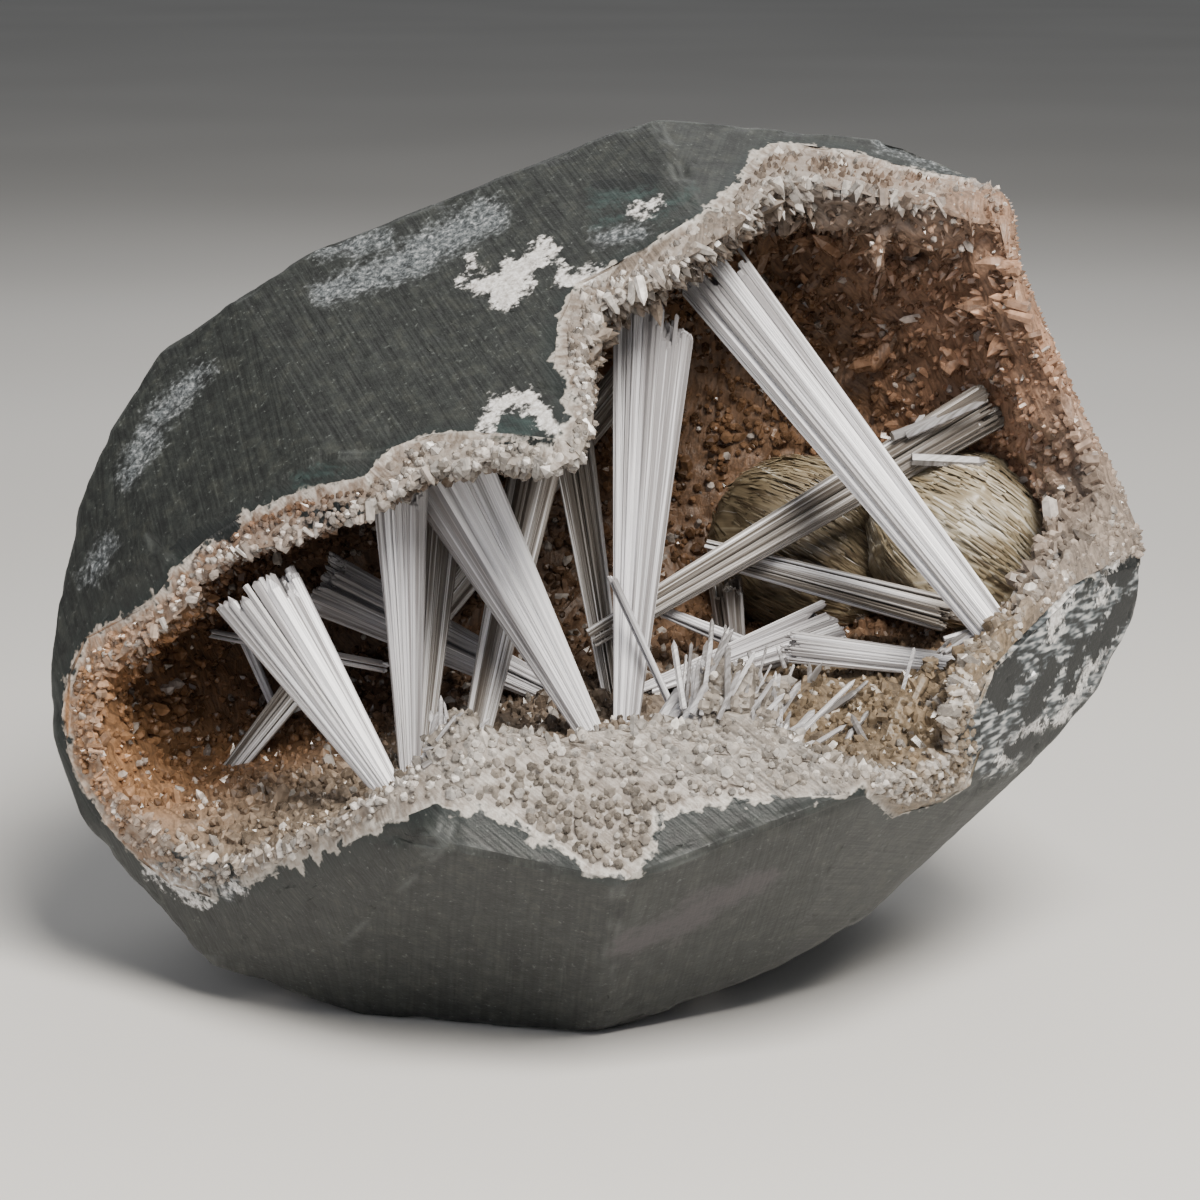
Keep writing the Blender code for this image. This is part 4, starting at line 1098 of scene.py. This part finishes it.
def dress_sheaf(material):
    """The two lobes of the sheaf: eggs ridged along their fibres, clipped where the crust holds them.

    A point's distance from its lobe's middle is the egg's, or the CAD lobe's and a little more
    where that is less, and stands in and out with a noise that runs along the fibres.
    """
    solid = solid_of("stilbite_sheaf")
    around, rows = LOBE_GRID
    rng = np.random.default_rng([SEED, 4])
    all_points, all_faces, all_maps, all_chances = [], [], [], []
    for number, (place, (wide, high, deep), fibre_turn) in enumerate(LOBES):
        middle = seen(place)
        fibre = math.cos(fibre_turn) * RIGHT + math.sin(fibre_turn) * UP
        side = -math.sin(fibre_turn) * RIGHT + math.cos(fibre_turn) * UP
        turn, slope = np.meshgrid(np.linspace(0, 2 * math.pi, around, endpoint=False),
                                  np.linspace(-math.pi / 2, math.pi / 2, rows + 2)[1:-1])
        turn, slope = turn.ravel(), slope.ravel()
        a, b, c = np.sin(slope), np.cos(slope) * np.cos(turn), np.cos(slope) * np.sin(turn)
        ways = a[:, None] * fibre + b[:, None] * side - c[:, None] * BEYOND
        reach = lobe_reach(middle, ways, (a / wide, b / high, c / deep), solid)
        fan = 1 + LOBE_FAN * a
        girth = (b * high + 0.4 * c * deep) / fan
        strip = np.stack([b * high / fan, c * deep / fan, a * wide / 14], axis=-1)
        ridges = 0.24 * grain(strip, 0.8, 60 + number) + 0.35 * grain(strip, 2.6, 62 + number)
        terrace = 0.35 * np.round(grain(strip * [1, 1, 6], 3.4, 64 + number) * 2) / 2
        reach = reach + (ridges + terrace) * np.cos(slope) ** 0.5 - 0.25
        points = middle + reach[:, None] * ways
        poles = middle + np.array([[-1], [1]]) * fibre * reach[[0, -1]][:, None]
        cells = np.arange(around * (rows - 1)).reshape(rows - 1, around)
        beside = np.roll(cells, -1, axis=1)
        first, last = np.arange(around), np.arange(around) + around * (rows - 1)
        south, north = np.full(around, len(points)), np.full(around, len(points) + 1)
        faces = np.concatenate([
            np.stack([cells, beside, beside + around], -1).reshape(-1, 3),
            np.stack([cells, beside + around, cells + around], -1).reshape(-1, 3),
            np.stack([south, np.roll(first, -1), first], -1),
            np.stack([north, last, np.roll(last, -1)], -1)])
        points = np.concatenate([points, poles])
        place_on = np.stack([np.append(girth, [0, 0]), np.append(a * wide, [-wide, wide])], axis=-1)
        if ((points[faces[:, 0]] - middle) * face_ways(points, faces)).sum() < 0:
            faces = faces[:, ::-1]
        all_faces.append(faces + sum(len(p) for p in all_points))
        all_maps.append(place_on[faces])
        all_points.append(points)
        all_chances.append(np.full(len(points), 0.66 - 0.3 * number))
        # Blades that lie on the lobe along its fibres, their free ends a little off it.
        low = rng.uniform(-0.95, 0.72, BLADE_COUNT)
        turn = rng.uniform(0, 2 * math.pi, BLADE_COUNT)
        ends = []
        for a, lift in ((low, 0.99), (np.minimum(low + rng.uniform(0.15, 0.4, BLADE_COUNT), 0.99), 1.015)):
            b, c = np.sqrt(1 - a ** 2) * np.cos(turn), np.sqrt(1 - a ** 2) * np.sin(turn)
            ways = a[:, None] * fibre + b[:, None] * side - c[:, None] * BEYOND
            reach = lobe_reach(middle, ways, (a / wide, b / high, c / deep), solid)
            ends.append(middle + (lift * reach)[:, None] * ways)
        roots, tips = ends
        across = unit(np.cross(tips - roots, (roots + tips) / 2 - middle))
        flat = unit(np.cross(across, tips - roots))
        half = rng.uniform(0.1, 0.26, BLADE_COUNT)
        made, blades = prisms(roots, tips, half, half * 0.8, rng.uniform(0.2, 1.6, BLADE_COUNT),
                              across, 0.35 * flat, 0.3 * half[:, None] * across)
        strip = np.stack([made @ side * 1.0, made @ fibre], axis=-1)
        all_faces.append(blades + sum(len(p) for p in all_points))
        all_maps.append(strip[blades])
        all_points.append(made)
        all_chances.append(np.repeat(np.clip(0.62 - 0.3 * number + rng.normal(0, 0.12, BLADE_COUNT), 0, 1), 13))
    sheaf = make_piece("sheaf", np.concatenate(all_points), np.concatenate(all_faces), material,
                       {"tone": np.concatenate(all_chances)},
                       {"fibre": np.concatenate(all_maps)}, sharp=50)
    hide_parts("stilbite_sheaf")


# Studio

def set_studio():
    """A pale paper floor, a large soft light above the front, a weak one at the left, and the camera."""
    half = 6.0
    mesh = bpy.data.meshes.new("floor")
    mesh.from_pydata([(-half, -half, 0), (half, -half, 0), (half, half, 0), (-half, half, 0)], [],
                     [(0, 1, 2, 3)])
    mesh.materials.append(pale_paper())
    floor = bpy.data.objects.new("floor", mesh)
    bpy.context.scene.collection.objects.link(floor)
    lights = (
        ("key", (0.17, -0.38, 0.56), 0.28, 10.5, "#fffaf2"),
        ("fill", (-0.2, -0.6, 0.2), 0.5, 1.0, "#f4f6ff"),
        ("back", (0.05, 0.52, 0.52), 0.5, 1.4, "#ffffff"),
    )
    for name, place, size, power, colour in lights:
        light = bpy.data.lights.new(name, "AREA")
        light.size = size
        light.energy = power
        light.color = linear(colour)
        lamp = bpy.data.objects.new(name, light)
        lamp.location = place
        aim = Vector((0.005, 0.0, 0.055)) - Vector(place)
        lamp.rotation_euler = aim.to_track_quat("-Z", "Y").to_euler()
        bpy.context.scene.collection.objects.link(lamp)
    world = bpy.data.worlds.new("room")
    world.use_nodes = True
    room = world.node_tree.nodes["Background"]
    room.inputs["Color"].default_value = (*linear("#e4e7ea"), 1)
    room.inputs["Strength"].default_value = 0.2
    bpy.context.scene.world = world
    lens = bpy.data.cameras.new("front view")
    lens.sensor_width = 36.0
    lens.lens = 36.0 * VIEW_DISTANCE / VIEW_WIDTH
    lens.clip_start = 0.01
    camera = bpy.data.objects.new("front view", lens)
    camera.location = (VIEW_MIDDLE - VIEW_DISTANCE * BEYOND) * MM
    camera.rotation_euler = (math.pi / 2 - VIEW_TILT, 0, 0)
    bpy.context.scene.collection.objects.link(camera)
    bpy.context.scene.camera = camera


def main():
    set_studio()
    dress_basalt(sawn_basalt())
    dress_crust(ground_druse(), (druse("pale druse", 0.0), druse("clear druse", 0.4)))
    white = scolecite("silky scolecite", "#d3d2d6", "#8d8a8b", 0.0)
    # The deep sprays' darker, greyer copy of the scolecite is painted shade.
    dress_sprays(white, scolecite("dim scolecite", "#a09b96", "#5f5851", 0.0))
    dress_splinters(scolecite("glassy scolecite", "#c6c4c6", "#8f8b89", 0.5))
    dress_sheaf(stilbite())


main()
